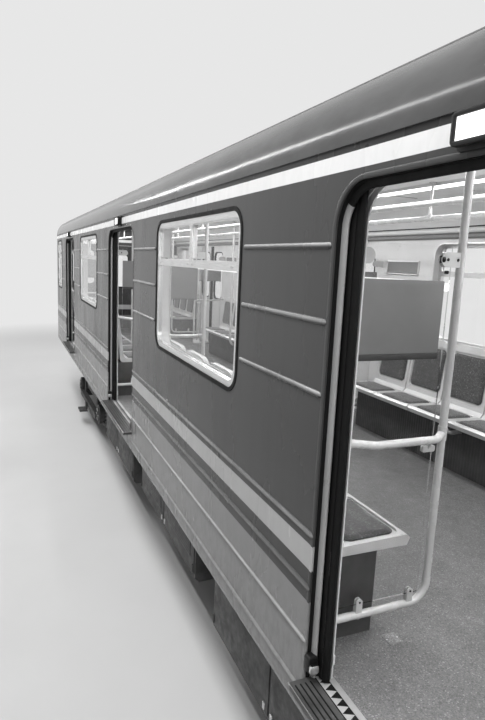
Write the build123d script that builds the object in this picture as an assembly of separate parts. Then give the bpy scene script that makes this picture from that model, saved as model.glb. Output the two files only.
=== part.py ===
from build123d import *
from math import atan2, cos, degrees, sin, sqrt
import os

# Metro car: an intermediate car with two like ends, eight sliding doorways and two bogies.
# Millimetres. X runs along the car, +Y is the platform side, Z is up.
# The origin is under the middle of the car, level with the lowest point of the wheel flanges.
# Doors on the +Y side are modelled open, doors on the -Y side closed.

# Running gear
TREAD_R = 390.0
FLANGE_H = 28.0
FLANGE_W = 32.0
WHEEL_W = 130.0
BACK_TO_BACK = 1360.0
RIM_T = 62.0
WEB_T = 30.0
AXLE_R = 82.0
AXLE_SEAT_R = 96.0
JOURNAL_R = 62.0
AXLE_OVERALL = 2170.0
WHEELBASE = 2100.0
RAIL = FLANGE_H
AXLE_Z = RAIL + TREAD_R
RUN_GAP = 0.5
FACE_GAP = 0.3
MOVE_GAP = 7.0

# Body outline, heights counted from the rail
BODY_L = 18770.0
END_EXTRA = 185.0
DOOR_PITCH = (BODY_L - 2 * END_EXTRA) / 4
HALF_W = 1350.0
SKIN = 16.0
SKIRT_Z = RAIL + 950.0
TUCK_R = 110.0
CANT_Z = RAIL + 3200.0
COVE_R = 282.0
ROOF_Z = RAIL + 3660.0
END_CAP = 120.0
END_T = 30.0
END_CORNER_R = 50.0
ROOF_R = ((HALF_W - COVE_R) ** 2 + (ROOF_Z - CANT_Z) ** 2 - COVE_R ** 2) / (2 * (ROOF_Z - CANT_Z - COVE_R))
GROOVE_H = 26.0
GROOVE_D = 7.0
GUTTER_R = 9.0
BOGIE_X = BODY_L / 2 - 3085.0

# Floor and doorways
FLOOR_Z = RAIL + 1200.0
FLOOR_T = 48.0
COVERING_T = 20.0
DOOR_X = tuple(k * DOOR_PITCH for k in (-1.5, -0.5, 0.5, 1.5))
DOOR_W = 1290.0
DOOR_HEAD = RAIL + 3079.0
DOOR_CORNER_R = 150.0
SURROUND_W = 40.0
SURROUND_IN = HALF_W - 42.0
EDGE_R = 20.0
BEAD_W = 8.0
BEAD_D = 16.0
THRESHOLD_OUT = HALF_W + 77.0
THRESHOLD_LAP = 4.0
THRESHOLD_R = 18.0

# Door leaves
LEAF_T = 32.0
LEAF_Y = SURROUND_IN - MOVE_GAP - LEAF_T / 2
LEAF_W = 690.0
LEAF_MEET = 6.0
LEAF_SHOWN = 72.0
LEAF_REAR_W = 45.0
LEAF_Z0 = FLOOR_Z + 8.0
LEAF_Z1 = DOOR_HEAD + 33.0
NOSE_W = 24.0
NOSE_T = 26.0
LEAF_WIN_W = 430.0
LEAF_WIN_Z0 = RAIL + 2120.0
LEAF_WIN_Z1 = RAIL + 2960.0
LEAF_WIN_R = 95.0
PANE_T = 6.0
TRACK_T = 12.0
TRACK_DEPTH = 17.0
TRACK_ROOM = 3.0
TRACK_SPARE = 10.0

# Walls inside
LINING_T = 18.0
LINING_OUT = LEAF_Y - LEAF_T / 2 - MOVE_GAP
LINING_IN = LINING_OUT - LINING_T
CANT_BOX_Z = LEAF_Z1 + 20.0
CORNICE_Z = RAIL + 3133.0
PILLAR_W = 40.0
PILLAR_OFF = 690.0

# Side windows, counted from the doorway edges and the end caps
WIN_OFF = 827.5
END_WIN_OFF = 750.0
END_WIN_MARGIN = 150.0
WIN_Z0 = RAIL + 2140.0
WIN_Z1 = RAIL + 3075.0
WIN_R = 130.0
GASKET_W = 22.0
GASKET_D = 24.0
FRAME_W = 34.0
FRAME_D = 40.0
FRAME_INSET = 2.0
GASKET_PROUD = 4.0
SLEEVE_GAP = 2.0
VENT_PANE_R = 30.0
BAR_Z0 = RAIL + 2757.0
BAR_Z1 = RAIL + 2798.0
MULLION_W = 44.0

# Pressed ribs on the outside
RIB_H = 26.0
RIB_D = 8.0
UPPER_RIBS = (RAIL + 2875.0, RAIL + 2605.0, RAIL + 2338.0)
LONG_RIBS = (RAIL + 1790.0, RAIL + 1573.0, RAIL + 1346.0, RAIL + 1123.0)
RIB_DOOR_OFF = 34.0
RIB_WIN_OFF = 43.0
LONG_RIB_OFF = 20.0

# Interior fittings
CEILING_Z = RAIL + 3396.0
CEILING_T = 8.0
COVE_IN_Y = 800.0
CORNICE_W = 30.0
CORNICE_H = 44.0
LIGHT_Y = 395.0
LIGHT_W = 130.0
LIGHT_T = 16.0
LIGHT_END = 260.0
PARTITION_OFF = 84.0
TUBE_R = 17.0
POLE_Y = LINING_IN - 544.0
FLANGE_R = 32.0
FLANGE_T = 6.0
FRAME_Z = FLOOR_Z + 150.0
FRAME_BEND_R = 90.0
MID_TUBE_Z = RAIL + 2108.0
MID_TUBE_OUT = 26.0
MID_TUBE_RISE = 30.0
MID_TUBE_WALL_RUN = 190.0
MID_TUBE_POLE_RUN = 48.0
MID_TUBE_POLE_RISE = 18.0
MID_TUBE_BEND_R = 60.0
COLLAR_T = 2.5
COLLAR_H = 60.0
FOOT_DROP = 37.0
FOOT_RISE = 20.0
OVERHEAD_Y = 300.0
OVERHEAD_Z = RAIL + 3157.0
HANGER_X0 = -190.0
HANGER_PITCH = 1533.0
HANGER_R = 9.0
HANGER_FLANGE_R = 26.0
SADDLE_L = 64.0
SADDLE_T = 5.0
HANGER_FLARE_H = 90.0
GLASS_T = 8.0
GLASS_Y0 = POLE_Y + 50.0
GLASS_Y1 = LINING_IN - 64.0
GLASS_Z0 = RAIL + 1400.0
GLASS_Z1 = RAIL + 2900.0
CLIP_Y = (GLASS_Y0 + 44.0, GLASS_Y1 - 122.0)
CLIP_W = 30.0
CLIP_T = 22.0
CLIP_GRIP = 26.0
CLIP_Z = RAIL + 2850.0

# Seats
SEAT_PITCH = 490.0
SEAT_W = 478.0
ROW_GAP = 30.0
ROW_SHIFT = -60.0
SEAT_BASE_Z = FLOOR_Z + 403.0
SEAT_TOP_Z = RAIL + 2190.0
SEAT_FRONT_Y = LINING_IN - 469.0
SEAT_CORNER_R = 110.0
SEAT_BACK_T = 34.0
BACK_TOP_IN = 4.0
NOSE_RUN = 18.0
NOSE_Z = 34.0
NOSE_UNDER = 14.0
BEND_RUN = 26.0
BEND_RISE = 30.0
HEEL_RUN = (44.0, 68.0)
HEEL_RISE = 40.0
SEAT_BEAM_Y = (LINING_IN - 244.0, LINING_IN - 144.0)
SEAT_BEAM_H = 24.0
PAN_REAR_H = 44.0
PAN_FRONT_H = 50.0
SEAT_BEND_Y = LINING_IN - 120.0
PAD_RIM = 26.0
PAD_R = 45.0
PAD_SINK = 12.0
PAD_PROUD = 3.0
PAD_GAP = 1.0
SITTING_ENDS = (14.0, 22.0)
LEANING_ENDS = (40.0, 62.0)
BASE_FRONT_Y = LINING_IN - 314.0
BASE_MARGIN = 30.0

# Underframe
SILL_Z0 = SKIRT_Z + TUCK_R
HANG_Z = RAIL + 1012.0
SILL_W = 100.0
CENTRE_SILL_W = 300.0
CENTRE_SILL_Z0 = RAIL + 972.0
UNDER_TOP = FLOOR_Z - FLOOR_T
BEARER_PITCH = DOOR_PITCH / 4
BEARER_W = 80.0
BOLSTER_L = 520.0
BOLSTER_FLAT_Y = 860.0
BOLSTER_Z0 = RAIL + 912.0
PIVOT_R = 75.0
PIVOT_Z0 = RAIL + 620.0

# Couplers
COUPLER_Z = RAIL + 828.0
COUPLER_PIVOT_X = BODY_L / 2 - 685.0
COUPLER_FACE_X = BODY_L / 2 + 205.0
COUPLER_PIN_R = 32.0
COUPLER_EYE_R = 80.0
COUPLER_EYE_H = 80.0
SHANK_R = 39.0
HEAD_L = 230.0
HEAD_W = 380.0
HEAD_H = 190.0
HEAD_BEVEL = 60.0
GUIDE_R = 45.0
GUIDE_L = 80.0
GUIDE_NOSE = 40.0
GUIDE_TAPER = 22.0
GUIDE_Y = 85.0
POCKET_W = 240.0
POCKET_T = 34.0
POCKET_BACK = 210.0
POCKET_FRONT = 60.0
POCKET_ROOM = 95.0

# End doorways and end windows
END_DOOR_W = 620.0
END_DOOR_Z1 = FLOOR_Z + 1850.0
END_DOOR_R = 60.0
END_DOOR_T = 30.0
END_DOOR_GAP = 5.0
END_DOOR_WIN_W = 300.0
END_DOOR_WIN_Z0 = RAIL + 2150.0
END_DOOR_WIN_Z1 = RAIL + 2850.0
END_DOOR_WIN_R = 70.0
HINGE_R = 11.0
HINGE_L = 90.0
HINGE_STRAP = 60.0
HINGE_Z = (FLOOR_Z + 300.0, FLOOR_Z + 1500.0)
HINGE_X = BODY_L / 2 - END_T - HINGE_R - 1
END_WINDOW_Y = 800.0
END_WINDOW_W = 470.0
END_WINDOW_Z0 = RAIL + 2200.0
END_WINDOW_Z1 = RAIL + 2930.0
END_WINDOW_R = 80.0

# Lamps over the doorways
LAMP_W = 168.0
LAMP_H = 75.0
LAMP_D = 34.0
LAMP_R = 9.0
LAMP_Z0 = DOOR_HEAD + 28.0

# Roof vents
VENT_COUNT = 6
VENT_END = 985.0
VENT_Y = 620.0
VENT_L = 620.0
VENT_W = 300.0
VENT_H = 62.0
VENT_SLOPE = 90.0

# Bogies
BOX_R = 150.0
BOX_Y0 = 900.0
BOX_Y1 = 1110.0
BOX_CAP_R = 105.0
BOX_CAP_PROUD = 14.0
JOURNAL_END_GAP = 6.0
BEAM_Y0 = 910.0
BEAM_Y1 = 1050.0
BEAM_TOP = RAIL + 700.0
BEAM_H = 110.0
BEAM_DROP = 250.0
BEAM_END = 330.0
BEAM_SLOPE = 420.0
BEAM_SHOULDER = 60.0
SPRING_R = 68.0
SPRING_WIRE = 26.0
SPRING_TURNS = 5
WING_X = BOX_R + SPRING_R + MOVE_GAP
WING_R = 78.0
WING_T = 40.0
WING_Z = AXLE_Z - 90.0
TRANSOM_X = 250.0
TRANSOM_W = 150.0
TRANSOM_Z0 = BEAM_TOP - 230.0
TRANSOM_Z1 = BEAM_TOP - 70.0
CENTRE_W = 380.0
BEARER_Y = 720.0
BEARER_R = 190.0
BEARER_SEAT_W = 300.0
BEARER_SEAT_T = 30.0
SHOE_Z = RAIL + 260.0
SHOE_BEAM_H = 90.0
SHOE_BEAM_Y = (BEAM_Y1 + 10.0, BEAM_Y1 + 90.0)
SHOE_ARM = (120.0, 31.0, -45.0, 60.0)
SHOE = (260.0, BEAM_Y1 + 100.0, BEAM_Y1 + 230.0, -70.0, -44.0)
SHOE_HANGER_W = 80.0
SHOE_HANGER_IN = 200.0
MOTOR_X = 555.0
MOTOR_R = 205.0
MOTOR_HALF_L = 330.0
MOTOR_Z = RAIL + 470.0
MOTOR_LUG_Y = 200.0
MOTOR_LUG_Z = (20.0, 130.0)
MOTOR_LUG_IN = 60.0

# Boxes and tanks under the floor between the bogies
EQUIP_CLEAR = 2250.0
EQUIP_GAP = 400.0
EQUIP_Y0 = 350.0
EQUIP_Y1 = 1180.0
EQUIP_DEPTHS = (560.0, 620.0, 520.0, 600.0)
EQUIP_EDGE = 30.0
EQUIP_DROP = 40.0
EQUIP_STRAP_W = 50.0
EQUIP_STRAP_Y = (EQUIP_Y0 + 100.0, EQUIP_Y0 + 160.0)
TANK_FROM_BOGIE = 2000.0
TANK_L = 900.0
TANK_R = 130.0
TANK_Y = 195.0
TANK_DROP = 190.0
TANK_STRAP = (40.0, 60.0)


def box(x0, x1, y0, y1, z0, z1):
    size = Box(abs(x1 - x0), abs(y1 - y0), abs(z1 - z0))
    return Pos((x0 + x1) / 2, (y0 + y1) / 2, (z0 + z1) / 2) * size


def rod(start, end, r):
    a, b = Vector(*start), Vector(*end)
    plane = Plane(origin=a, z_dir=(b - a).normalized())
    return extrude(plane * Circle(r), (b - a).length)


def flip_y(shape):
    return mirror(shape, about=Plane.XZ)


def across(face, x0, x1):
    """Extrude a face drawn in (Y, Z) from x0 to x1."""
    return extrude(Plane.YZ.offset(x0) * face, x1 - x0)


def through(face, y0, y1):
    """Extrude a face drawn in (X, Z) from y0 out to y1."""
    return extrude(Plane.XZ.offset(-y1) * face, y1 - y0)


def rounded(x0, x1, z0, z1, r):
    return Pos((x0 + x1) / 2, (z0 + z1) / 2) * RectangleRounded(x1 - x0, z1 - z0, r)


def rect(x0, x1, z0, z1):
    return Pos((x0 + x1) / 2, (z0 + z1) / 2) * Rectangle(x1 - x0, z1 - z0)


def arch(x0, x1, z0, z1, r):
    """A doorway outline: square at the sill, round at the two top corners."""
    top = z1 - r
    lines = [
        Line((x0, z0), (x0, top)),
        ThreePointArc((x0, top), (x0 + r * (1 - sqrt(0.5)), z1 - r * (1 - sqrt(0.5))), (x0 + r, z1)),
        Line((x0 + r, z1), (x1 - r, z1)),
        ThreePointArc((x1 - r, z1), (x1 - r * (1 - sqrt(0.5)), z1 - r * (1 - sqrt(0.5))), (x1, top)),
        Line((x1, top), (x1, z0)),
        Line((x1, z0), (x0, z0)),
    ]
    return make_face(Wire(lines))


def body_face(inset):
    """The body's cross-section in (Y, Z), moved in from its outside by inset."""
    side, low = HALF_W - inset, SKIRT_Z + inset
    tuck, cove, top = TUCK_R - inset, COVE_R - inset, ROOF_R - inset
    cove_y, roof_mid_z = HALF_W - COVE_R, ROOF_Z - ROOF_R
    eave = atan2(CANT_Z - roof_mid_z, cove_y)
    eave_y, eave_z = top * cos(eave), roof_mid_z + top * sin(eave)
    k = sqrt(0.5)
    right = [
        Line((0, low), (side - tuck, low)),
        ThreePointArc((side - tuck, low), (side - tuck + tuck * k, low + tuck - tuck * k),
                      (side, low + tuck)),
        Line((side, low + tuck), (side, CANT_Z)),
        ThreePointArc((side, CANT_Z), (cove_y + cove * cos(eave / 2), CANT_Z + cove * sin(eave / 2)),
                      (eave_y, eave_z)),
    ]
    left = [edge.mirror(Plane.YZ) for edge in right]
    crown = ThreePointArc((eave_y, eave_z), (0, roof_mid_z + top), (-eave_y, eave_z))
    return make_face(Wire(right + [crown] + left))


def bays():
    """Wall bays between doorways as (x0, x1, is_end)."""
    edges = [-BODY_L / 2 + END_CAP]
    for x in DOOR_X:
        edges += [x - DOOR_W / 2, x + DOOR_W / 2]
    edges.append(BODY_L / 2 - END_CAP)
    pairs = [(edges[i], edges[i + 1]) for i in range(0, len(edges), 2)]
    return [(x0, x1, i in (0, len(pairs) - 1)) for i, (x0, x1) in enumerate(pairs)]


def windows():
    """Side windows as (x0, x1)."""
    spans = []
    for x0, x1, is_end in bays():
        if not is_end:
            spans.append((x0 + WIN_OFF, x1 - WIN_OFF))
        elif x0 < 0:
            spans.append((x0 + END_WIN_MARGIN, x1 - END_WIN_OFF))
        else:
            spans.append((x0 + END_WIN_OFF, x1 - END_WIN_MARGIN))
    return spans


def door_outline(x, grow=0.0):
    half = DOOR_W / 2 + grow
    return arch(x - half, x + half, FLOOR_Z - COVERING_T, DOOR_HEAD + grow, DOOR_CORNER_R + grow)


def door_surround(x):
    """The pressed edge round one doorway, with the bead in its reveal."""
    ring = through(door_outline(x, SURROUND_W) - door_outline(x), SURROUND_IN, HALF_W)
    lip = [e for e in ring.edges() if abs(e.center().Y - HALF_W) < 1 and e.center().Z > FLOOR_Z
           and all(abs(v.X - x) < DOOR_W / 2 + 1 and v.Z < DOOR_HEAD + 1 for v in e.vertices())]
    ring = fillet(lip, EDGE_R)
    bead = through(door_outline(x) - door_outline(x, -BEAD_W), SURROUND_IN, SURROUND_IN + BEAD_D)
    return ring + bead


def rib(x0, x1, z):
    face = make_face(Wire([
        ThreePointArc((HALF_W, z - RIB_H / 2), (HALF_W + RIB_D, z), (HALF_W, z + RIB_H / 2)),
        Line((HALF_W, z + RIB_H / 2), (HALF_W - 2, z + RIB_H / 2)),
        Line((HALF_W - 2, z + RIB_H / 2), (HALF_W - 2, z - RIB_H / 2)),
        Line((HALF_W - 2, z - RIB_H / 2), (HALF_W, z - RIB_H / 2)),
    ]))
    return across(face, x0, x1)


def wall_ribs():
    """Short ribs beside the windows and long ribs under them, bay by bay."""
    found = []
    for (x0, x1, is_end), (w0, w1) in zip(bays(), windows()):
        left_off = LONG_RIB_OFF if is_end and x0 < 0 else RIB_DOOR_OFF
        right_off = LONG_RIB_OFF if is_end and x1 > 0 else RIB_DOOR_OFF
        for z in UPPER_RIBS:
            found.append(rib(x0 + left_off, w0 - RIB_WIN_OFF, z))
            found.append(rib(w1 + RIB_WIN_OFF, x1 - right_off, z))
        for z in LONG_RIBS:
            found.append(rib(x0 + LONG_RIB_OFF, x1 - LONG_RIB_OFF, z))
    return found


def side_wall():
    """Outer side wall of the +Y side: skin, cantrail, pillars, doorways, ribs and door tracks."""
    reach = BODY_L / 2 - END_CAP
    shell = body_face(0) - body_face(SKIN)
    skin = shell & rect(HALF_W - TUCK_R, HALF_W, SKIRT_Z, CANT_Z)
    wall = across(skin, -reach, reach)
    wall += box(-reach, reach, LINING_OUT, HALF_W - SKIN, CANT_BOX_Z, CANT_Z)
    for x in DOOR_X:
        for side in (-1, 1):
            x0 = x + side * (DOOR_W / 2 + PILLAR_OFF)
            wall += box(x0, x0 + side * PILLAR_W, LINING_OUT, HALF_W - SKIN, FLOOR_Z - COVERING_T, CANT_BOX_Z)
    cuts = [through(door_outline(x, SURROUND_W), LINING_OUT - 1, HALF_W + 1) for x in DOOR_X]
    cuts += [through(rounded(w0, w1, WIN_Z0, WIN_Z1, WIN_R), LINING_OUT - 1, HALF_W + 1)
             for w0, w1 in windows()]
    cuts.append(box(-reach, reach, HALF_W - GROOVE_D, HALF_W + 1, CANT_Z - GROOVE_H, CANT_Z))
    wall = wall - cuts
    wall += [door_surround(x) for x in DOOR_X]
    run = DOOR_W / 2 + LEAF_W - LEAF_SHOWN + TRACK_SPARE
    track_z = LEAF_Z1 - TRACK_DEPTH + TRACK_ROOM
    for x in DOOR_X:
        wall += box(x - run, x + run, LEAF_Y - TRACK_T / 2, LEAF_Y + TRACK_T / 2, track_z, CANT_BOX_Z)
    wall += wall_ribs()
    return wall


def side_lining():
    """Inner wall panels of the +Y side: one with a window sleeve in each bay and one over each doorway."""
    low, grow = FLOOR_Z - COVERING_T, SLEEVE_GAP
    back = HALF_W - GASKET_D - FACE_GAP
    found = []
    for (x0, x1, is_end), (w0, w1) in zip(bays(), windows()):
        hole = rounded(w0 + GASKET_W, w1 - GASKET_W, WIN_Z0 + GASKET_W, WIN_Z1 - GASKET_W, WIN_R - GASKET_W)
        sleeve = rounded(w0 + grow, w1 - grow, WIN_Z0 + grow, WIN_Z1 - grow, WIN_R - grow) - hole
        panel = through(rect(x0, x1, low, CORNICE_Z) - hole, LINING_IN, LINING_OUT)
        found.append(panel + through(sleeve, LINING_IN, back))
    for x in DOOR_X:
        over = rect(x - DOOR_W / 2, x + DOOR_W / 2, DOOR_HEAD - DOOR_CORNER_R, CORNICE_Z) - door_outline(x)
        found.append(through(over, LINING_IN, LINING_OUT))
    return found


def window_gasket(w0, w1):
    outer = rounded(w0 + FACE_GAP, w1 - FACE_GAP, WIN_Z0 + FACE_GAP, WIN_Z1 - FACE_GAP, WIN_R - FACE_GAP)
    g = GASKET_W
    inner = rounded(w0 + g, w1 - g, WIN_Z0 + g, WIN_Z1 - g, WIN_R - g)
    return through(outer - inner, HALF_W - GASKET_D, HALF_W + GASKET_PROUD)


def window_openings(w0, w1):
    """The three glazed openings of one side window frame: two vents above, one pane below."""
    edge = GASKET_W + FRAME_W
    mid = (w0 + w1) / 2
    left, right = w0 + edge, w1 - edge
    r = WIN_R - edge
    low = arch(left, right, -BAR_Z0, -(WIN_Z0 + edge), r)
    low = low.mirror(Plane.XZ)
    vents = []
    for x0, x1 in ((left, mid - MULLION_W / 2), (mid + MULLION_W / 2, right)):
        vents.append(rounded(x0, x1, BAR_Z1, WIN_Z1 - edge, VENT_PANE_R))
    return [low] + vents


def window_frame(w0, w1):
    g = GASKET_W + FACE_GAP
    outer = rounded(w0 + g, w1 - g, WIN_Z0 + g, WIN_Z1 - g, WIN_R - g)
    frame = through(outer, HALF_W - FRAME_D, HALF_W - FRAME_INSET)
    return frame - [through(face, HALF_W - FRAME_D - 1, HALF_W) for face in window_openings(w0, w1)]


def window_panes(w0, w1):
    y = HALF_W - FRAME_D / 2
    return [through(offset(face, -FACE_GAP), y - PANE_T / 2, y + PANE_T / 2)
            for face in window_openings(w0, w1)]


def door_leaf(tip, side):
    """One leaf of the +Y side. tip is the X of its meeting edge; side is -1 for the leaf on the -X side."""
    tail = tip + side * LEAF_W
    body = tip + side * NOSE_W
    y0, y1 = LEAF_Y - LEAF_T / 2, LEAF_Y + LEAF_T / 2
    leaf = box(body, tail, y0, y1, LEAF_Z0, LEAF_Z1)
    nose = box(tip, body, LEAF_Y - NOSE_T / 2, LEAF_Y + NOSE_T / 2, LEAF_Z0, LEAF_Z1)
    nose_edges = [e for e in nose.edges().filter_by(Axis.Z) if abs(e.center().X - tip) < 1]
    leaf += fillet(nose_edges, NOSE_T / 2 - 2)
    mid = body + side * (LEAF_W - NOSE_W - LEAF_REAR_W) / 2
    hole = rounded(mid - LEAF_WIN_W / 2, mid + LEAF_WIN_W / 2, LEAF_WIN_Z0, LEAF_WIN_Z1, LEAF_WIN_R)
    leaf = leaf - through(hole, y0 - 1, y1 + 1)
    groove = TRACK_T / 2 + FACE_GAP
    leaf = leaf - box(tip - side, tail + side, LEAF_Y - groove, LEAF_Y + groove,
                      LEAF_Z1 - TRACK_DEPTH, LEAF_Z1 + 1)
    pane = through(offset(hole, -FACE_GAP), LEAF_Y - PANE_T / 2, LEAF_Y + PANE_T / 2)
    return [leaf, pane]


def threshold(x):
    half = DOOR_W / 2 - BEAD_W - 1
    plate = box(x - half, x + half, LINING_IN - THRESHOLD_LAP, THRESHOLD_OUT, FLOOR_Z - COVERING_T, FLOOR_Z)
    outer = [e for e in plate.edges().filter_by(Axis.Z) if e.center().Y > THRESHOLD_OUT - 1]
    return fillet(outer, THRESHOLD_R)


def floor():
    reach = BODY_L / 2 - END_T
    wide, step = HALF_W - SKIN, LINING_IN - THRESHOLD_LAP
    low, high = FLOOR_Z - FLOOR_T, FLOOR_Z - COVERING_T
    points = [(-wide, low), (wide, low), (wide, high), (step, high), (step, FLOOR_Z),
              (-step, FLOOR_Z), (-step, high), (-wide, high)]
    return across(make_face(Polyline(points, close=True)), -reach, reach)


def roof():
    reach = BODY_L / 2 - END_CAP
    shell = body_face(0) - body_face(SKIN)
    skin = across(shell & rect(-HALF_W, HALF_W, CANT_Z, ROOF_Z + 1), -reach, reach)
    for side in (-1, 1):
        skin += across(gutter_face(side) - body_face(SKIN / 2), -reach, reach)
    return skin


def gutter_face(side):
    """A rain strip along the eave, where the cove turns into the crown."""
    eave = atan2(CANT_Z - ROOF_Z + ROOF_R, HALF_W - COVE_R)
    return Pos(side * ROOF_R * cos(eave), ROOF_Z - ROOF_R + ROOF_R * sin(eave)) * Circle(GUTTER_R)


def roof_vent(x, y):
    """A low air scoop that follows the crown of the roof."""
    top = ROOF_Z - ROOF_R + sqrt(ROOF_R ** 2 - y * y)
    face = make_face(Polyline([(x - VENT_L / 2, -VENT_H), (x + VENT_L / 2, -VENT_H), (x + VENT_L / 2, 0),
                               (x + VENT_L / 2 - VENT_SLOPE, VENT_H), (x - VENT_L / 2 + VENT_SLOPE, VENT_H),
                               (x - VENT_L / 2, 0)], close=True))
    tilt = -degrees(y / ROOF_R)
    hood = Pos(0, y, top) * Rot(tilt, 0, 0) * through(face, -VENT_W / 2, VENT_W / 2)
    return hood - across(body_face(-FACE_GAP), x - VENT_L, x + VENT_L)


def vent_places():
    pitch = (BODY_L - 2 * VENT_END) / VENT_COUNT
    first = VENT_END - BODY_L / 2
    return [(first + (i + 0.5) * pitch, y) for i in range(VENT_COUNT) for y in (-VENT_Y, VENT_Y)]


def ceiling():
    reach = BODY_L / 2 - END_CAP
    outer = ceiling_outline(0) - ceiling_outline(CEILING_T)
    return across(outer & rect(-LINING_IN, LINING_IN, CORNICE_Z, ROOF_Z), -reach, reach)


def ceiling_outline(inset):
    """The space under the ceiling in (Y, Z): straight walls, a cove on each side and a flat top."""
    side, flat = LINING_IN - inset, COVE_IN_Y
    top = CEILING_Z + CEILING_T - inset
    low = CORNICE_Z - 100
    mid_y = flat + (LINING_IN - flat) * 0.62 - inset * 0.7
    mid_z = CORNICE_Z + (CEILING_Z + CEILING_T - CORNICE_Z) * 0.68 - inset * 0.7
    right = [
        Line((0, low), (side, low)),
        Line((side, low), (side, CORNICE_Z)),
        ThreePointArc((side, CORNICE_Z), (mid_y, mid_z), (flat, top)),
        Line((flat, top), (0, top)),
    ]
    return make_face(Wire(right + [edge.mirror(Plane.YZ) for edge in right]))


def cornice():
    """The rounded moulding under the ceiling's edge, on the +Y side."""
    low = CORNICE_Z - CORNICE_H
    face = rect(LINING_IN - CORNICE_W, LINING_IN, low, CORNICE_Z)
    face = fillet(face.vertices().sort_by(Axis.X)[:2], CORNICE_W * 0.45)
    reach = BODY_L / 2 - END_CAP
    return across(face, -reach, reach)


def ceiling_light(y):
    reach = BODY_L / 2 - END_CAP - LIGHT_END
    return box(-reach, reach, y - LIGHT_W / 2, y + LIGHT_W / 2, CEILING_Z - LIGHT_T, CEILING_Z)


def end_windows(grow):
    return [rounded(y - END_WINDOW_W / 2 + grow, y + END_WINDOW_W / 2 - grow, END_WINDOW_Z0 + grow,
                    END_WINDOW_Z1 - grow, END_WINDOW_R - grow) for y in (-END_WINDOW_Y, END_WINDOW_Y)]


def end_wall():
    """The +X end: an open shell with a doorway, two windows and hinge knuckles."""
    x1 = BODY_L / 2
    cap = across(body_face(0), x1 - END_CAP, x1)
    corners = [e for e in cap.edges() if abs(e.center().X - x1) < 1]
    cap = fillet(corners, END_CORNER_R)
    cap = cap - across(body_face(SKIN), x1 - END_CAP - 1, x1 - END_T)
    doorway = arch(-END_DOOR_W / 2, END_DOOR_W / 2, FLOOR_Z, END_DOOR_Z1, END_DOOR_R)
    cap = cap - across(doorway, x1 - END_CAP - 1, x1 + 1)
    cap = cap - [across(face, x1 - END_CAP - 1, x1 + 1) for face in end_windows(0)]
    hinge_y = -END_DOOR_W / 2
    for z in HINGE_Z:
        knuckle = rod((HINGE_X, hinge_y, z + FACE_GAP), (HINGE_X, hinge_y, z + HINGE_L), HINGE_R)
        strap = box(HINGE_X, HINGE_X + HINGE_R + 1, hinge_y - HINGE_STRAP, hinge_y, z + FACE_GAP, z + HINGE_L)
        cap += knuckle + strap
    return cap


def end_panes():
    x = BODY_L / 2 - END_T / 2
    return [across(face, x - PANE_T / 2, x + PANE_T / 2) for face in end_windows(FACE_GAP)]


def end_door():
    """The +X end door, hinged on its -Y edge and opening into the saloon."""
    x0 = BODY_L / 2 - END_T
    g = END_DOOR_GAP
    face = arch(-END_DOOR_W / 2 + g, END_DOOR_W / 2 - g, FLOOR_Z + g, END_DOOR_Z1 - g, END_DOOR_R - g)
    door = across(face, x0, x0 + END_DOOR_T)
    half = END_DOOR_WIN_W / 2
    hole = rounded(-half, half, END_DOOR_WIN_Z0, END_DOOR_WIN_Z1, END_DOOR_WIN_R)
    door = door - across(hole, x0 - 1, x0 + END_DOOR_T + 1)
    for z in HINGE_Z:
        knuckle = rod((HINGE_X, -END_DOOR_W / 2, z - HINGE_L), (HINGE_X, -END_DOOR_W / 2, z), HINGE_R)
        strap = box(HINGE_X, HINGE_X + HINGE_R + 1, -END_DOOR_W / 2,
                    -END_DOOR_W / 2 + HINGE_STRAP, z - HINGE_L, z)
        door += knuckle + strap
    mid = x0 + END_DOOR_T / 2
    pane = across(offset(hole, -FACE_GAP), mid - PANE_T / 2, mid + PANE_T / 2)
    return [door, pane]


def door_lamp(x):
    lamp = box(x - LAMP_W / 2, x + LAMP_W / 2, HALF_W, HALF_W + LAMP_D, LAMP_Z0, LAMP_Z0 + LAMP_H)
    return fillet([e for e in lamp.edges() if e.center().Y > HALF_W + LAMP_D - 1], LAMP_R)


def seat_faces():
    """The sitting face and the leaning face of a seat of the +Y side, each as two points in (Y, Z)."""
    bend = SEAT_BASE_Z + PAN_REAR_H
    sitting = ((SEAT_FRONT_Y + NOSE_RUN, SEAT_BASE_Z + PAN_FRONT_H), (SEAT_BEND_Y, bend))
    leaning = ((SEAT_BEND_Y + BEND_RUN, bend + BEND_RISE), (LINING_IN - SEAT_BACK_T, SEAT_TOP_Z))
    return sitting, leaning


def slab(face, ends, depth, proud, shrink):
    """A plate that lies along one seat face, held back from the face's two ends."""
    start, stop = ends
    (y0, z0), (y1, z1) = face
    length = sqrt((y1 - y0) ** 2 + (z1 - z0) ** 2)
    uy, uz = (y1 - y0) / length, (z1 - z0) / length
    corners = [(start + shrink, proud), (length - stop - shrink, proud),
               (length - stop - shrink, -depth + shrink), (start + shrink, -depth + shrink)]
    points = [(y0 + a * uy - b * uz, z0 + a * uz + b * uy) for a, b in corners]
    half = SEAT_W / 2 - PAD_RIM - shrink
    plate = across(make_face(Polyline(points, close=True)), -half, half)
    normal = Vector(0, -uz, uy)
    uprights = [e for e in plate.edges() if abs((e @ 1 - e @ 0).normalized().dot(normal)) > 0.99]
    return fillet(uprights, PAD_R - shrink)


def seat_slabs(proud, shrink):
    """The sunk places for the two pads of a seat, or with a shrink the pads themselves."""
    sitting, leaning = seat_faces()
    return [slab(sitting, SITTING_ENDS, PAD_SINK, proud, shrink),
            slab(leaning, LEANING_ENDS, PAD_SINK, proud, shrink)]


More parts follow.
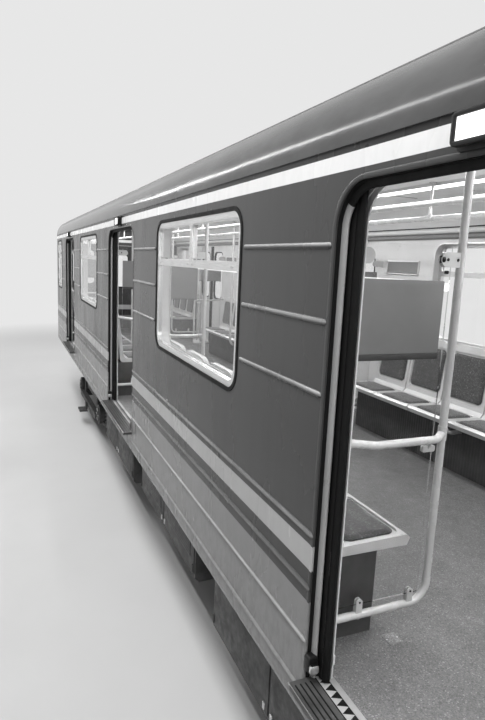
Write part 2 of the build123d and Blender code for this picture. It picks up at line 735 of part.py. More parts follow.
def seat():
    """One moulded seat shell of the +Y side, centred on X = 0."""
    (nose, sitting_end), (leaning_start, leaning_top) = seat_faces()
    pan = SEAT_BASE_Z
    heel0, heel1 = (SEAT_BEND_Y + run for run in HEEL_RUN)
    points = [(LINING_IN - BACK_TOP_IN, SEAT_TOP_Z), leaning_top, leaning_start, sitting_end, nose,
              (SEAT_FRONT_Y, pan + NOSE_Z), (SEAT_FRONT_Y + NOSE_UNDER, pan), (heel0, pan),
              (heel1, pan + HEEL_RISE)]
    shell = across(make_face(Polyline(points, close=True)), -SEAT_W / 2, SEAT_W / 2)
    tops = [e for e in shell.edges()
            if e.center().Z > SEAT_TOP_Z - 1 and abs(abs(e.center().X) - SEAT_W / 2) < 1]
    return fillet(tops, SEAT_CORNER_R) - seat_slabs(1.0, 0.0)


def seat_rows():
    """Seat rows of the +Y side as (centre X, count)."""
    rows = []
    for x0, x1, is_end in bays():
        inner = PARTITION_OFF + TUBE_R + ROW_GAP
        if not is_end:
            count = int((x1 - x0 - 2 * inner) / SEAT_PITCH)
            rows.append(((x0 + x1) / 2 + ROW_SHIFT, count))
            continue
        count = int((x1 - x0 - inner) / SEAT_PITCH)
        half = count * SEAT_PITCH / 2 + inner
        rows.append((x1 - half if x0 < 0 else x0 + half, count))
    return rows


def seat_places(x, count):
    start = x - (count - 1) * SEAT_PITCH / 2
    return [start + i * SEAT_PITCH for i in range(count)]


def seat_row(x, count, shell):
    """A row of shells on the beam that joins their pans."""
    row = [Pos(place, 0, 0) * shell for place in seat_places(x, count)]
    half = count * SEAT_PITCH / 2 - BASE_MARGIN
    beam = box(x - half, x + half, *SEAT_BEAM_Y, SEAT_BASE_Z, SEAT_BASE_Z + SEAT_BEAM_H)
    return beam + row


def seat_base(x, count):
    """The heater box under a row, set back from the front of the seats."""
    half = count * SEAT_PITCH / 2 - BASE_MARGIN
    return box(x - half, x + half, BASE_FRONT_Y, LINING_IN, FLOOR_Z, SEAT_BASE_Z)


def wall_flange(x, z):
    return rod((x, LINING_IN, z), (x, LINING_IN - FLANGE_T, z), FLANGE_R)


def glass_clip(x, y0, y1, z0, z1):
    """A flat lug with round ends that holds the screen in a slot."""
    face = rounded(y0, y1, z0, z1, min(y1 - y0, z1 - z0) / 2 - 1)
    lug = across(face, x - CLIP_T / 2, x + CLIP_T / 2)
    slot = GLASS_T / 2 + FACE_GAP
    return lug - box(x - slot, x + slot, GLASS_Y0 - FACE_GAP, GLASS_Y1 + FACE_GAP,
                     GLASS_Z0 - FACE_GAP, GLASS_Z1 + FACE_GAP)


def pole_frame(x, out):
    """The tube frame beside a doorway, which lies towards out: low tube, bend, pole, and a middle tube."""
    path = FilletPolyline((x, LINING_IN, FRAME_Z), (x, POLE_Y, FRAME_Z), (x, POLE_Y, CEILING_Z),
                          radius=FRAME_BEND_R)
    start = Plane(origin=(x, LINING_IN, FRAME_Z), z_dir=(0, -1, 0))
    frame = sweep(start * Circle(TUBE_R), path=path)
    side = x + out * MID_TUBE_OUT
    bow = FilletPolyline((side, LINING_IN, MID_TUBE_Z + MID_TUBE_RISE),
                         (side, LINING_IN - MID_TUBE_WALL_RUN, MID_TUBE_Z),
                         (side, POLE_Y + MID_TUBE_POLE_RUN, MID_TUBE_Z),
                         (x, POLE_Y, MID_TUBE_Z + MID_TUBE_POLE_RISE), radius=MID_TUBE_BEND_R)
    start = Plane(origin=bow @ 0, z_dir=bow % 0)
    bow_room = box(x - FLANGE_R * 3, x + FLANGE_R * 3, POLE_Y - TUBE_R / 2, LINING_IN, FLOOR_Z, CEILING_Z)
    frame += sweep(start * Circle(TUBE_R), path=bow) & bow_room
    collar_z = MID_TUBE_Z + MID_TUBE_POLE_RISE - COLLAR_H / 2
    frame += rod((x, POLE_Y, collar_z), (x, POLE_Y, collar_z + COLLAR_H), TUBE_R + COLLAR_T)
    frame += wall_flange(x, FRAME_Z) + wall_flange(side, MID_TUBE_Z + MID_TUBE_RISE)
    frame += rod((x, POLE_Y, CEILING_Z - FLANGE_T), (x, POLE_Y, CEILING_Z), FLANGE_R)
    for y in CLIP_Y:
        frame += glass_clip(x, y - CLIP_W / 2, y + CLIP_W / 2, FRAME_Z - CLIP_W / 2, GLASS_Z0 + CLIP_GRIP)
    lug = glass_clip(x, POLE_Y - CLIP_W, GLASS_Y0 + CLIP_GRIP + CLIP_W, CLIP_Z - CLIP_W, CLIP_Z + CLIP_W)
    return frame + (lug & box(x - CLIP_T, x + CLIP_T, POLE_Y, LINING_IN, FLOOR_Z, CEILING_Z))


def wall_clip(x):
    """The lug that holds a screen's upper wall corner to the lining."""
    lug = glass_clip(x, GLASS_Y1 - CLIP_GRIP - CLIP_W, LINING_IN + CLIP_W, CLIP_Z - CLIP_W, CLIP_Z + CLIP_W)
    return lug & box(x - CLIP_T, x + CLIP_T, POLE_Y, LINING_IN, CLIP_Z - 2 * CLIP_W, CLIP_Z + 2 * CLIP_W)


def bay_pole(x):
    """A pole in front of a middle seat row, on a foot that bends under the seats to the heater box."""
    y = SEAT_FRONT_Y - TUBE_R - MOVE_GAP
    z = SEAT_BASE_Z - TUBE_R - FOOT_DROP
    top = z + FRAME_BEND_R + FOOT_RISE
    path = FilletPolyline((x, BASE_FRONT_Y, z), (x, y, z), (x, y, top), radius=FRAME_BEND_R)
    start = Plane(origin=(x, BASE_FRONT_Y, z), z_dir=(0, -1, 0))
    foot = sweep(start * Circle(TUBE_R), path=path)
    pole = rod((x, y, top), (x, y, CEILING_Z), TUBE_R)
    return [foot, pole + rod((x, y, CEILING_Z - FLANGE_T), (x, y, CEILING_Z), FLANGE_R)]


def partition_planes():
    """Pole frames as (X, direction of their doorway)."""
    return [(x + side * (DOOR_W / 2 + PARTITION_OFF), -side) for x in DOOR_X for side in (-1, 1)]


def grab_rails():
    """Pole frames, screen lugs and bay poles of the +Y side."""
    found = [pole_frame(x, out) for x, out in partition_planes()]
    found += [wall_clip(x) for x, out in partition_planes()]
    for (x, count), bay in zip(seat_rows(), bays()):
        found += [] if bay[2] else bay_pole(x)
    return found


def glass_screen(x):
    t = GLASS_T / 2
    return box(x - t, x + t, GLASS_Y0, GLASS_Y1, GLASS_Z0, GLASS_Z1)


def rail_hanger(x):
    """A post that flares down from its ceiling flange to a saddle round the overhead rail."""
    z1 = CEILING_Z
    outline = [(0, OVERHEAD_Z), (HANGER_R + SADDLE_T, OVERHEAD_Z), (HANGER_R, OVERHEAD_Z + HANGER_FLARE_H),
               (HANGER_R, z1 - FLANGE_T), (HANGER_FLANGE_R, z1 - FLANGE_T), (HANGER_FLANGE_R, z1), (0, z1)]
    post = revolve(Plane.XZ * make_face(Polyline(outline, close=True)), Axis.Z)
    saddle = rod((-SADDLE_L / 2, 0, OVERHEAD_Z), (SADDLE_L / 2, 0, OVERHEAD_Z), TUBE_R + SADDLE_T)
    bore = rod((-SADDLE_L, 0, OVERHEAD_Z), (SADDLE_L, 0, OVERHEAD_Z), TUBE_R + FACE_GAP)
    return Pos(x, OVERHEAD_Y, 0) * ((post + saddle) - bore)


def hanger_places():
    reach = BODY_L / 2 - END_CAP
    count = int((reach + HANGER_X0) / HANGER_PITCH)
    places = [HANGER_X0 + i * HANGER_PITCH for i in range(-count, count + 2)]
    return [x for x in places if abs(x) < reach - HANGER_PITCH / 8]


def overhead_rails():
    reach = BODY_L / 2 - END_T
    tube = rod((-reach, OVERHEAD_Y, OVERHEAD_Z), (reach, OVERHEAD_Y, OVERHEAD_Z), TUBE_R)
    return [tube] + [rail_hanger(x) for x in hanger_places()]


def underframe():
    """Sills, cross bearers, bolsters with their pivots and the coupler pockets, each face to face."""
    reach = BODY_L / 2 - END_CAP
    outer = HALF_W - SKIN
    inner = outer - SILL_W
    found = [box(-reach, reach, side * inner, side * outer, SILL_Z0, UNDER_TOP) for side in (-1, 1)]
    edges = [-reach, -BOGIE_X - BOLSTER_L / 2, -BOGIE_X + BOLSTER_L / 2, BOGIE_X - BOLSTER_L / 2,
             BOGIE_X + BOLSTER_L / 2, reach]
    for x0, x1 in zip(edges[::2], edges[1::2]):
        found.append(box(x0, x1, -CENTRE_SILL_W / 2, CENTRE_SILL_W / 2, CENTRE_SILL_Z0, UNDER_TOP))
    count = int(reach / BEARER_PITCH)
    for x in [i * BEARER_PITCH for i in range(-count, count + 1)]:
        if abs(abs(x) - BOGIE_X) > BOLSTER_L / 2 + BEARER_W:
            found += [box(x - BEARER_W / 2, x + BEARER_W / 2, side * CENTRE_SILL_W / 2, side * inner,
                          SILL_Z0, UNDER_TOP) for side in (-1, 1)]
    outline = Polyline([(-inner, UNDER_TOP), (-inner, SILL_Z0), (-BOLSTER_FLAT_Y, BOLSTER_Z0),
                        (BOLSTER_FLAT_Y, BOLSTER_Z0), (inner, SILL_Z0), (inner, UNDER_TOP)], close=True)
    for side in (-1, 1):
        x = side * BOGIE_X
        found.append(across(make_face(outline), x - BOLSTER_L / 2, x + BOLSTER_L / 2))
        found.append(rod((x, 0, PIVOT_Z0), (x, 0, BOLSTER_Z0), PIVOT_R))
        found += draft_pocket(side)
    return found


def draft_pocket(side):
    """The fork under a body end that carries the coupler on a vertical pin."""
    x0, x1 = side * (COUPLER_PIVOT_X - POCKET_BACK), side * (COUPLER_PIVOT_X + POCKET_FRONT)
    web = side * (COUPLER_PIVOT_X - POCKET_ROOM)
    half = POCKET_W / 2
    low, high = COUPLER_Z - COUPLER_EYE_H / 2 - RUN_GAP, COUPLER_Z + COUPLER_EYE_H / 2 + RUN_GAP
    pin_x = side * COUPLER_PIVOT_X
    return [box(x0, x1, -half, half, high, CENTRE_SILL_Z0), box(x0, web, -half, half, low, high),
            box(x0, x1, -half, half, low - POCKET_T, low),
            rod((pin_x, 0, low), (pin_x, 0, high), COUPLER_PIN_R)]


def coupler():
    """The +X automatic coupler: eye, shank and head with a guide pin and a guide socket."""
    z, p, face = COUPLER_Z, COUPLER_PIVOT_X, COUPLER_FACE_X
    body = rod((p, 0, z - COUPLER_EYE_H / 2), (p, 0, z + COUPLER_EYE_H / 2), COUPLER_EYE_R)
    body += rod((p, 0, z), (face - HEAD_L + 80, 0, z), SHANK_R)
    head = box(face - HEAD_L, face, -HEAD_W / 2, HEAD_W / 2, z - HEAD_H / 2, z + HEAD_H / 2)
    rear = [e for e in head.edges()
            if e.center().X < face - HEAD_L + 1 and abs(e.center().Y) > HEAD_W / 2 - 1]
    body += chamfer(rear, HEAD_BEVEL)
    body += rod((face - 10, GUIDE_Y, z), (face + GUIDE_L, GUIDE_Y, z), GUIDE_R)
    nose = Plane(origin=(face + GUIDE_L, GUIDE_Y, z), z_dir=(1, 0, 0))
    body += loft([nose * Circle(GUIDE_R), nose.offset(GUIDE_NOSE) * Circle(GUIDE_R - GUIDE_TAPER)])
    depth = GUIDE_L + GUIDE_NOSE + 10
    body = body - rod((face - depth, -GUIDE_Y, z), (face + 1, -GUIDE_Y, z), GUIDE_R + RUN_GAP)
    return body - rod((p, 0, z - COUPLER_EYE_H), (p, 0, z + COUPLER_EYE_H), COUPLER_PIN_R + RUN_GAP)


def wheel(x, side):
    """A flanged wheel, turned about the axle line."""
    back = BACK_TO_BACK / 2
    front = back + WHEEL_W
    rim_in = TREAD_R - RIM_T
    outline = [(AXLE_SEAT_R, back), (TREAD_R + FLANGE_H, back), (TREAD_R + FLANGE_H, back + FLANGE_W - 14),
               (TREAD_R, back + FLANGE_W), (TREAD_R - 4, front), (rim_in, front),
               (rim_in, back + 50 + WEB_T), (AXLE_SEAT_R, front)]
    face = make_face(Polyline(outline, close=True))
    turned = revolve(face, Axis.Y)
    turned = turned if side > 0 else flip_y(turned)
    return Pos(x, 0, AXLE_Z) * turned


def axle(x):
    half = AXLE_OVERALL / 2
    seat0, seat1 = BACK_TO_BACK / 2 - 10, BACK_TO_BACK / 2 + WHEEL_W + 10
    right = [(AXLE_R, seat0), (AXLE_SEAT_R, seat0), (AXLE_SEAT_R, seat1), (JOURNAL_R, seat1),
             (JOURNAL_R, half)]
    left = [(r, -y) for r, y in reversed(right)]
    face = make_face(Polyline([(0, -half)] + left + right + [(0, half)], close=True))
    return Pos(x, 0, AXLE_Z) * revolve(face, Axis.Y)


def side_beam():
    """The cranked side beam of a bogie frame on +Y."""
    half = WHEELBASE / 2
    right = [(half - BEAM_SLOPE, BEAM_TOP - BEAM_DROP), (half - BEAM_END, BEAM_TOP - BEAM_H),
             (half + BEAM_END, BEAM_TOP - BEAM_H), (half + BEAM_END, BEAM_TOP),
             (half - BEAM_END + BEAM_SHOULDER, BEAM_TOP), (half - BEAM_SLOPE, BEAM_TOP - BEAM_SHOULDER)]
    left = [(-x, z) for x, z in reversed(right)]
    face = make_face(Polyline(right + left, close=True))
    return through(face, BEAM_Y0, BEAM_Y1)


def axle_box(x):
    """A round cast axle box on +Y with a wing and a spring seat on each side."""
    house = through(Pos(x, AXLE_Z) * Circle(BOX_R), BOX_Y0, BOX_Y1)
    mid = (BEAM_Y0 + BEAM_Y1) / 2
    for s in (-1, 1):
        wing_x = x + s * WING_X
        house += box(x, wing_x, mid - WING_R, mid + WING_R, WING_Z - WING_T, WING_Z)
        house += rod((wing_x, mid, WING_Z - WING_T), (wing_x, mid, WING_Z), WING_R)
    house += through(Pos(x, AXLE_Z) * Circle(BOX_CAP_R), BOX_Y1 - BOX_CAP_PROUD, BOX_Y1 + BOX_CAP_PROUD)
    bore_end = AXLE_OVERALL / 2 + JOURNAL_END_GAP
    return house - rod((x, BOX_Y0 - 1, AXLE_Z), (x, bore_end, AXLE_Z), JOURNAL_R + RUN_GAP)


def axle_spring(x, y):
    """A coil spring between an axle box wing and the side beam, drawn as its close turns."""
    z0, z1 = WING_Z, BEAM_TOP - BEAM_H
    turn = (z1 - z0) / SPRING_TURNS
    outline = [(0, z0), (SPRING_R, z0)]
    for i in range(1, SPRING_TURNS):
        z = z0 + i * turn
        outline += [(SPRING_R, z - turn * 0.3), (SPRING_R - SPRING_WIRE / 2, z), (SPRING_R, z + turn * 0.3)]
    outline += [(SPRING_R, z1), (0, z1)]
    return Pos(x, y, 0) * revolve(Plane.XZ * make_face(Polyline(outline, close=True)), Axis.Z)


def shoe_gear():
    """The insulated beam between the axle boxes on +Y with its current collector shoe."""
    half = WHEELBASE / 2 - BOX_R - MOVE_GAP
    inner, outer = SHOE_BEAM_Y
    beam = box(-half, half, inner, outer, SHOE_Z, SHOE_Z + SHOE_BEAM_H)
    arm_w, arm_t, arm_z0, arm_z1 = SHOE_ARM
    beam += box(-arm_w / 2, arm_w / 2, outer - 1, outer - 1 + arm_t, SHOE_Z + arm_z0, SHOE_Z + arm_z1)
    shoe_w, shoe_y0, shoe_y1, shoe_z0, shoe_z1 = SHOE
    beam += box(-shoe_w / 2, shoe_w / 2, shoe_y0, shoe_y1, SHOE_Z + shoe_z0, SHOE_Z + shoe_z1)
    for s in (-1, 1):
        hang = s * (half - SHOE_HANGER_IN)
        beam += box(hang - SHOE_HANGER_W / 2, hang + SHOE_HANGER_W / 2, BEAM_Y1, (inner + outer) / 2 - 20,
                    SHOE_Z + SHOE_BEAM_H / 4, BEAM_TOP - BEAM_DROP / 2)
    return beam


def bogie_frame(x):
    """A welded bogie frame with its axle boxes, springs, bearers and collector shoes."""
    frame = side_beam() + flip_y(side_beam())
    for s in (-1, 1):
        frame += box(s * TRANSOM_X - TRANSOM_W / 2, s * TRANSOM_X + TRANSOM_W / 2, -BEAM_Y0, BEAM_Y0,
                     TRANSOM_Z0, TRANSOM_Z1)
    frame += box(-TRANSOM_X, TRANSOM_X, -CENTRE_W / 2, CENTRE_W / 2, TRANSOM_Z0, TRANSOM_Z1 + BEARER_SEAT_T)
    for y in (-BEARER_Y, BEARER_Y):
        frame += box(-TRANSOM_X, TRANSOM_X, y - BEARER_SEAT_W / 2, y + BEARER_SEAT_W / 2,
                     TRANSOM_Z0 + BEARER_SEAT_T, TRANSOM_Z1)
    frame = frame - rod((0, 0, TRANSOM_Z0 - 1), (0, 0, BEAM_TOP), PIVOT_R + RUN_GAP)
    found = [frame]
    side_parts = [shoe_gear(), rod((0, BEARER_Y, TRANSOM_Z1), (0, BEARER_Y, BOLSTER_Z0 - FACE_GAP), BEARER_R)]
    for s in (-1, 1):
        cx = s * WHEELBASE / 2
        side_parts.append(axle_box(cx))
    found += side_parts + [flip_y(part) for part in side_parts]
    return [Pos(x, 0, 0) * part for part in found]


def axle_springs(x):
    """The eight springs of one bogie, a pair at each axle box."""
    mid = (BEAM_Y0 + BEAM_Y1) / 2
    places = [x + s * WHEELBASE / 2 + d * WING_X for s in (-1, 1) for d in (-1, 1)]
    return both_sides([axle_spring(place, mid) for place in places])


def motor(x, s):
    """A traction motor hung on the transom, parallel to its axle."""
    barrel = rod((s * MOTOR_X, -MOTOR_HALF_L, MOTOR_Z), (s * MOTOR_X, MOTOR_HALF_L, MOTOR_Z), MOTOR_R)
    lug = box(s * (TRANSOM_X + TRANSOM_W / 2), s * (MOTOR_X - MOTOR_LUG_IN), -MOTOR_LUG_Y, MOTOR_LUG_Y,
              MOTOR_Z + MOTOR_LUG_Z[0], MOTOR_Z + MOTOR_LUG_Z[1])
    return Pos(x, 0, 0) * (barrel + lug)


def equipment():
    """Equipment cases of different depths hung on straps from the underframe, on both sides."""
    span = 2 * (BOGIE_X - EQUIP_CLEAR)
    count = len(EQUIP_DEPTHS)
    length = (span - (count - 1) * EQUIP_GAP) / count
    found = []
    for i, depth in enumerate(EQUIP_DEPTHS):
        x = -span / 2 + length / 2 + i * (length + EQUIP_GAP)
        case = box(x - length / 2, x + length / 2, EQUIP_Y0, EQUIP_Y1, HANG_Z - depth, HANG_Z - EQUIP_DROP)
        low = [e for e in case.edges().filter_by(Axis.X) if e.center().Z < HANG_Z - depth + 1]
        case = chamfer(low, EQUIP_EDGE)
        for s in (-1, 1):
            strap = x + s * length / 4
            case += box(strap - EQUIP_STRAP_W / 2, strap + EQUIP_STRAP_W / 2, *EQUIP_STRAP_Y,
                        HANG_Z - EQUIP_DROP - 1, UNDER_TOP)
        found.append(case)
    return found + [Rot(0, 0, 180) * case for case in found]


def air_tank(x, y):
    """A round-ended air tank on a strap from the underframe."""
    z = HANG_Z - TANK_DROP
    tank = rod((x - TANK_L / 2, y, z), (x + TANK_L / 2, y, z), TANK_R)
    tank = fillet([e for e in tank.edges() if e.geom_type == GeomType.CIRCLE], TANK_R * 0.4)
    strap_x, strap_y = TANK_STRAP
    return tank + box(x - strap_x / 2, x + strap_x / 2, y - strap_y / 2, y + strap_y / 2, z, UNDER_TOP)


NODES = {}


def keep(name, shapes):
    found = []
    for shape in shapes if isinstance(shapes, list) else [shapes]:
        found += list(shape.solids())
    NODES[name] = found


def both_sides(shapes):
    return shapes + [flip_y(s) for s in shapes]


def turned(shape):
    """The same piece at the -X end of the car."""
    return Rot(0, 0, 180) * shape


def build_body():
    for name, shapes in (("side_wall", [side_wall()]), ("side_lining", side_lining())):
        keep(f"{name}_platform", shapes)
        keep(f"{name}_track", [flip_y(s) for s in shapes])
    keep("roof", roof())
    keep("ceiling", ceiling())
    keep("cornices", both_sides([cornice()]))
    keep("ceiling_lights", both_sides([ceiling_light(LIGHT_Y)]))
    keep("floor", floor())
    keep("underframe", underframe())
    cap, door = end_wall(), end_door()
    keep("end_wall_front", cap)
    keep("end_wall_rear", turned(cap))
    keep("end_door_front", door)
    keep("end_door_rear", [turned(s) for s in door])
    spans = windows()
    keep("window_gaskets", both_sides([window_gasket(w0, w1) for w0, w1 in spans]))
    keep("window_frames", both_sides([window_frame(w0, w1) for w0, w1 in spans]))
    panes = both_sides([pane for w0, w1 in spans for pane in window_panes(w0, w1)])
    keep("window_panes", panes + end_panes() + [turned(s) for s in end_panes()])
    keep("thresholds", both_sides([threshold(x) for x in DOOR_X]))
    keep("door_lamps", both_sides([door_lamp(x) for x in DOOR_X]))
    keep("roof_vents", [roof_vent(x, y) for x, y in vent_places()])


def build_saloon():
    rows = seat_rows()
    shell = seat()
    keep("seats", both_sides([seat_row(x, count, shell) for x, count in rows]))
    keep("seat_bases", both_sides([seat_base(x, count) for x, count in rows]))
    pads = seat_slabs(PAD_PROUD, PAD_GAP)
    keep("seat_pads", both_sides([Pos(place, 0, 0) * pad for x, count in rows
                                  for place in seat_places(x, count) for pad in pads]))
    keep("grab_rails", both_sides(grab_rails()))
    keep("overhead_rails", both_sides(overhead_rails()))
    keep("glass_screens", both_sides([glass_screen(x) for x, out in partition_planes()]))


def build_doors():
    for number, x in enumerate(DOOR_X, start=1):
        for side, hand in ((-1, "a"), (1, "b")):
            shut = x + side * LEAF_MEET / 2
            wide = x + side * (DOOR_W / 2 - LEAF_SHOWN)
            keep(f"door_leaf_platform_{number}{hand}", door_leaf(wide, side))
            keep(f"door_leaf_track_{number}{hand}", [flip_y(s) for s in door_leaf(shut, side)])


def build_running_gear():
    keep("equipment_boxes", equipment())
    tank_x = BOGIE_X - TANK_FROM_BOGIE
    keep("air_tanks", both_sides([air_tank(x, TANK_Y) for x in (-tank_x, tank_x)]))
    arm = coupler()
    keep("coupler_front", arm)
    keep("coupler_rear", turned(arm))
    for end, x in (("front", BOGIE_X), ("rear", -BOGIE_X)):
        keep(f"bogie_frame_{end}", bogie_frame(x))
        keep(f"axle_springs_{end}", axle_springs(x))
        keep(f"motors_{end}", [motor(x, -1), motor(x, 1)])
        for number, dx in ((1, WHEELBASE / 2), (2, -WHEELBASE / 2)):
            keep(f"wheels_{end}_{number}", [wheel(x + dx, -1), wheel(x + dx, 1)])
            keep(f"axle_{end}_{number}", axle(x + dx))


def write():
    os.makedirs("parts", exist_ok=True)
    for name, solids in NODES.items():
        shape = solids[0] if len(solids) == 1 else Compound(children=solids)
        export_step(shape, f"parts/{name}.step")


build_body()
build_saloon()
build_doors()
build_running_gear()
write()
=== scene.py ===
import math

import bmesh
import bpy
from mathutils import Matrix, Vector


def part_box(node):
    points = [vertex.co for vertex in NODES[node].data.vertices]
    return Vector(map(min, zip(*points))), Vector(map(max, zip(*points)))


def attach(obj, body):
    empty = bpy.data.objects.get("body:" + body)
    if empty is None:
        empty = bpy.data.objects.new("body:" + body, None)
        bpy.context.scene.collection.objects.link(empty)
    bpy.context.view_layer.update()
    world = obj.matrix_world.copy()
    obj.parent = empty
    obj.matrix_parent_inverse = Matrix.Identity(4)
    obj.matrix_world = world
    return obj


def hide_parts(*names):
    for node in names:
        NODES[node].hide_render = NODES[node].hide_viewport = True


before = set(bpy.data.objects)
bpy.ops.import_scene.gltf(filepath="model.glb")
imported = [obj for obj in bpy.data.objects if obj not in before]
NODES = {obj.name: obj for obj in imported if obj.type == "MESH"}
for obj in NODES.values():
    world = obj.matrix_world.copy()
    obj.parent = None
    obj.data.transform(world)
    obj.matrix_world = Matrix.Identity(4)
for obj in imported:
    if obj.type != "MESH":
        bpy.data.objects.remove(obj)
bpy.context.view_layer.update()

# Main sizes in metres; heights count from the flange bottoms, and the rail top is 28 mm up
RAIL = 0.028
FLOOR = RAIL + 1.200
HALF_W = 1.350
BODY_HALF = 9.385
END_CAP = 0.120
DOOR_X = (-6.9, -2.3, 2.3, 6.9)
DOOR_HALF = 0.645
DOOR_HEAD = RAIL + 3.079
DOOR_R = 0.150
LINING = 1.244
CEILING_Z = RAIL + 3.396
CEILING_FLAT = 0.800
SIDES = (("platform", 1), ("track", -1))
ENDS = (("front", 1), ("rear", -1))

# Side windows as (x0, x1), with the heights of their frames
WINDOWS = ((-9.115, -8.295), (-5.4275, -3.7725), (-0.8275, 0.8275), (3.7725, 5.4275), (8.295, 9.115))
WINDOW_Z = (RAIL + 2.140, RAIL + 3.075)
BAR_Z = (RAIL + 2.757, RAIL + 2.798)

# Door leaves
LEAF_Y = 1.285
LEAF_HALF_T = 0.016
NOSE_HALF_T = 0.0131
LEAF_WINDOW_IN = 0.3345
LEAF_WINDOW = (0.430, RAIL + 2.120, RAIL + 2.960, 0.095)
LEAF_SHOWN = 0.074

# Partitions at the doorways, and the seats
PARTITION_OFF = 0.084
CLIP_Z = RAIL + 2.850
SEAT_PITCH = 0.490
SEAT_ROWS = ((-8.411, 3), (-4.660, 6), (-0.060, 6), (4.540, 6), (8.411, 3))
SITTING = ((0.793, 1.681), (1.124, 1.675), 0.014, 0.022)
LEANING = ((1.150, 1.705), (1.210, 2.218), 0.040, 0.062)
PAD_W = 0.424
PAD_CORNER = 0.045

# Running gear
BOGIE_X = 6.3
AXLE_OFF = 1.05
AXLE_Z = 0.418
SPRING_X = 0.225
SPRING_Y = 0.980
SPRING_Z = (0.328, 0.618)
SPRING_R = 0.055
SPRING_WIRE = 0.013
SPRING_TURNS = 5

# Pressed ribs on the outside: their heights above the flange bottoms, and their section
UPPER_RIBS = (RAIL + 2.875, RAIL + 2.605, RAIL + 2.338)
LONG_RIBS = (RAIL + 1.790, RAIL + 1.573, RAIL + 1.346, RAIL + 1.123)
RIB_H = 0.026
RIB_D = 0.008

# Paint bands on the outside: lower edge of each band and its grey level; the thin dark band under the gutter
# is painted shadow
BANDS = (
    (0.0, 0.225),
    (RAIL + 1.506, 0.045),
    (RAIL + 1.634, 0.410),
    (RAIL + 1.743, 0.058),
    (RAIL + 3.117, 0.780),
    # Painted shadow: the gutter's shadow, as a near-black band
    (RAIL + 3.174, 0.030),
    (RAIL + 3.200, 0.100),
)


def socket(bsdf, name, value):
    bsdf.inputs[name].default_value = value


def grey(level):
    return (level, level, level, 1.0)


class Finish:
    """A material with its node tree, and short ways to add the nodes that the finishes share."""

    def __init__(self, name, level, roughness, metallic=0.0):
        self.mat = bpy.data.materials.new(name)
        self.mat.use_nodes = True
        self.tree = self.mat.node_tree
        self.bsdf = self.tree.nodes["Principled BSDF"]
        self.coords = self.node("ShaderNodeTexCoord")
        socket(self.bsdf, "Base Color", grey(level))
        socket(self.bsdf, "Roughness", roughness)
        socket(self.bsdf, "Metallic", metallic)

    def node(self, kind, **values):
        found = self.tree.nodes.new(kind)
        for key, value in values.items():
            setattr(found, key, value)
        return found

    def link(self, out, into):
        self.tree.links.new(out, into)

    def mapped(self, scale=(1, 1, 1)):
        mapping = self.node("ShaderNodeMapping")
        mapping.inputs["Scale"].default_value = scale
        self.link(self.coords.outputs["Object"], mapping.inputs["Vector"])
        return mapping.outputs["Vector"]

    def noise(self, scale, detail, stretch=(1, 1, 1), rough=0.55):
        noise = self.node("ShaderNodeTexNoise")
        noise.inputs["Scale"].default_value = scale
        noise.inputs["Detail"].default_value = detail
        noise.inputs["Roughness"].default_value = rough
        self.link(self.mapped(stretch), noise.inputs["Vector"])
        return noise.outputs["Fac"]

    def wave(self, scale, direction):
        wave = self.node("ShaderNodeTexWave", bands_direction=direction, wave_profile="SIN")
        wave.inputs["Scale"].default_value = scale
        self.link(self.mapped(), wave.inputs["Vector"])
        return wave.outputs["Fac"]

    def ramp(self, fac, stops, interpolation="LINEAR"):
        ramp = self.node("ShaderNodeValToRGB")
        ramp.color_ramp.interpolation = interpolation
        elements = ramp.color_ramp.elements
        while len(elements) < len(stops):
            elements.new(0.5)
        for element, (place, level) in zip(elements, stops):
            element.position = place
            element.color = grey(level)
        self.link(fac, ramp.inputs["Fac"])
        return ramp.outputs["Color"]

    def map_range(self, value, low, high, to_low, to_high):
        node = self.node("ShaderNodeMapRange")
        for key, number in (("From Min", low), ("From Max", high), ("To Min", to_low), ("To Max", to_high)):
            node.inputs[key].default_value = number
        self.link(value, node.inputs["Value"])
        return node.outputs["Result"]

    def mix(self, fac, a, b, blend="MIX"):
        node = self.node("ShaderNodeMix", data_type="RGBA", blend_type=blend)
        for index, value in ((0, fac), (6, a), (7, b)):
            if isinstance(value, (int, float)):
                node.inputs[index].default_value = value if index == 0 else grey(value)
            else:
                self.link(value, node.inputs[index])
        return node.outputs[2]

    def times(self, a, b):
        node = self.node("ShaderNodeMath", operation="MULTIPLY")
        for socket_in, value in zip(node.inputs, (a, b)):
            if isinstance(value, (int, float)):
                socket_in.default_value = value
            else:
                self.link(value, socket_in)
        return node.outputs[0]

    def axis(self, name):
        split = self.node("ShaderNodeSeparateXYZ")
        self.link(self.coords.outputs["Object"], split.inputs["Vector"])
        return split.outputs[name]

    def colour(self, out):
        self.link(out, self.bsdf.inputs["Base Color"])

    def roughness(self, out):
        self.link(out, self.bsdf.inputs["Roughness"])

    def uneven(self, scale, detail, low, high, stretch=(1, 1, 1), span=(0.3, 0.7)):
        """Let the roughness wander between low and high."""
        self.roughness(self.map_range(self.noise(scale, detail, stretch), *span, low, high))

    def drift(self, scale, detail, levels, stretch=(1, 1, 1), span=(0.3, 0.7), rough=0.55):
        """Noise as a grey: the first level up to the span's start, the second from its end."""
        return self.ramp(self.noise(scale, detail, stretch, rough), list(zip(span, levels)))

    def bump(self, height, strength, distance):
        """Raise the surface by height, on top of any bump that is already there."""
        bump = self.node("ShaderNodeBump")
        bump.inputs["Strength"].default_value = strength
        bump.inputs["Distance"].default_value = distance
        self.link(height, bump.inputs["Height"])
        if self.bsdf.inputs["Normal"].links:
            self.link(self.bsdf.inputs["Normal"].links[0].from_socket, bump.inputs["Normal"])
        self.link(bump.outputs["Normal"], self.bsdf.inputs["Normal"])

    def gloss(self, level):
        """How strongly the surface mirrors; 0.5 is plain plastic."""
        socket(self.bsdf, "Specular IOR Level", level)


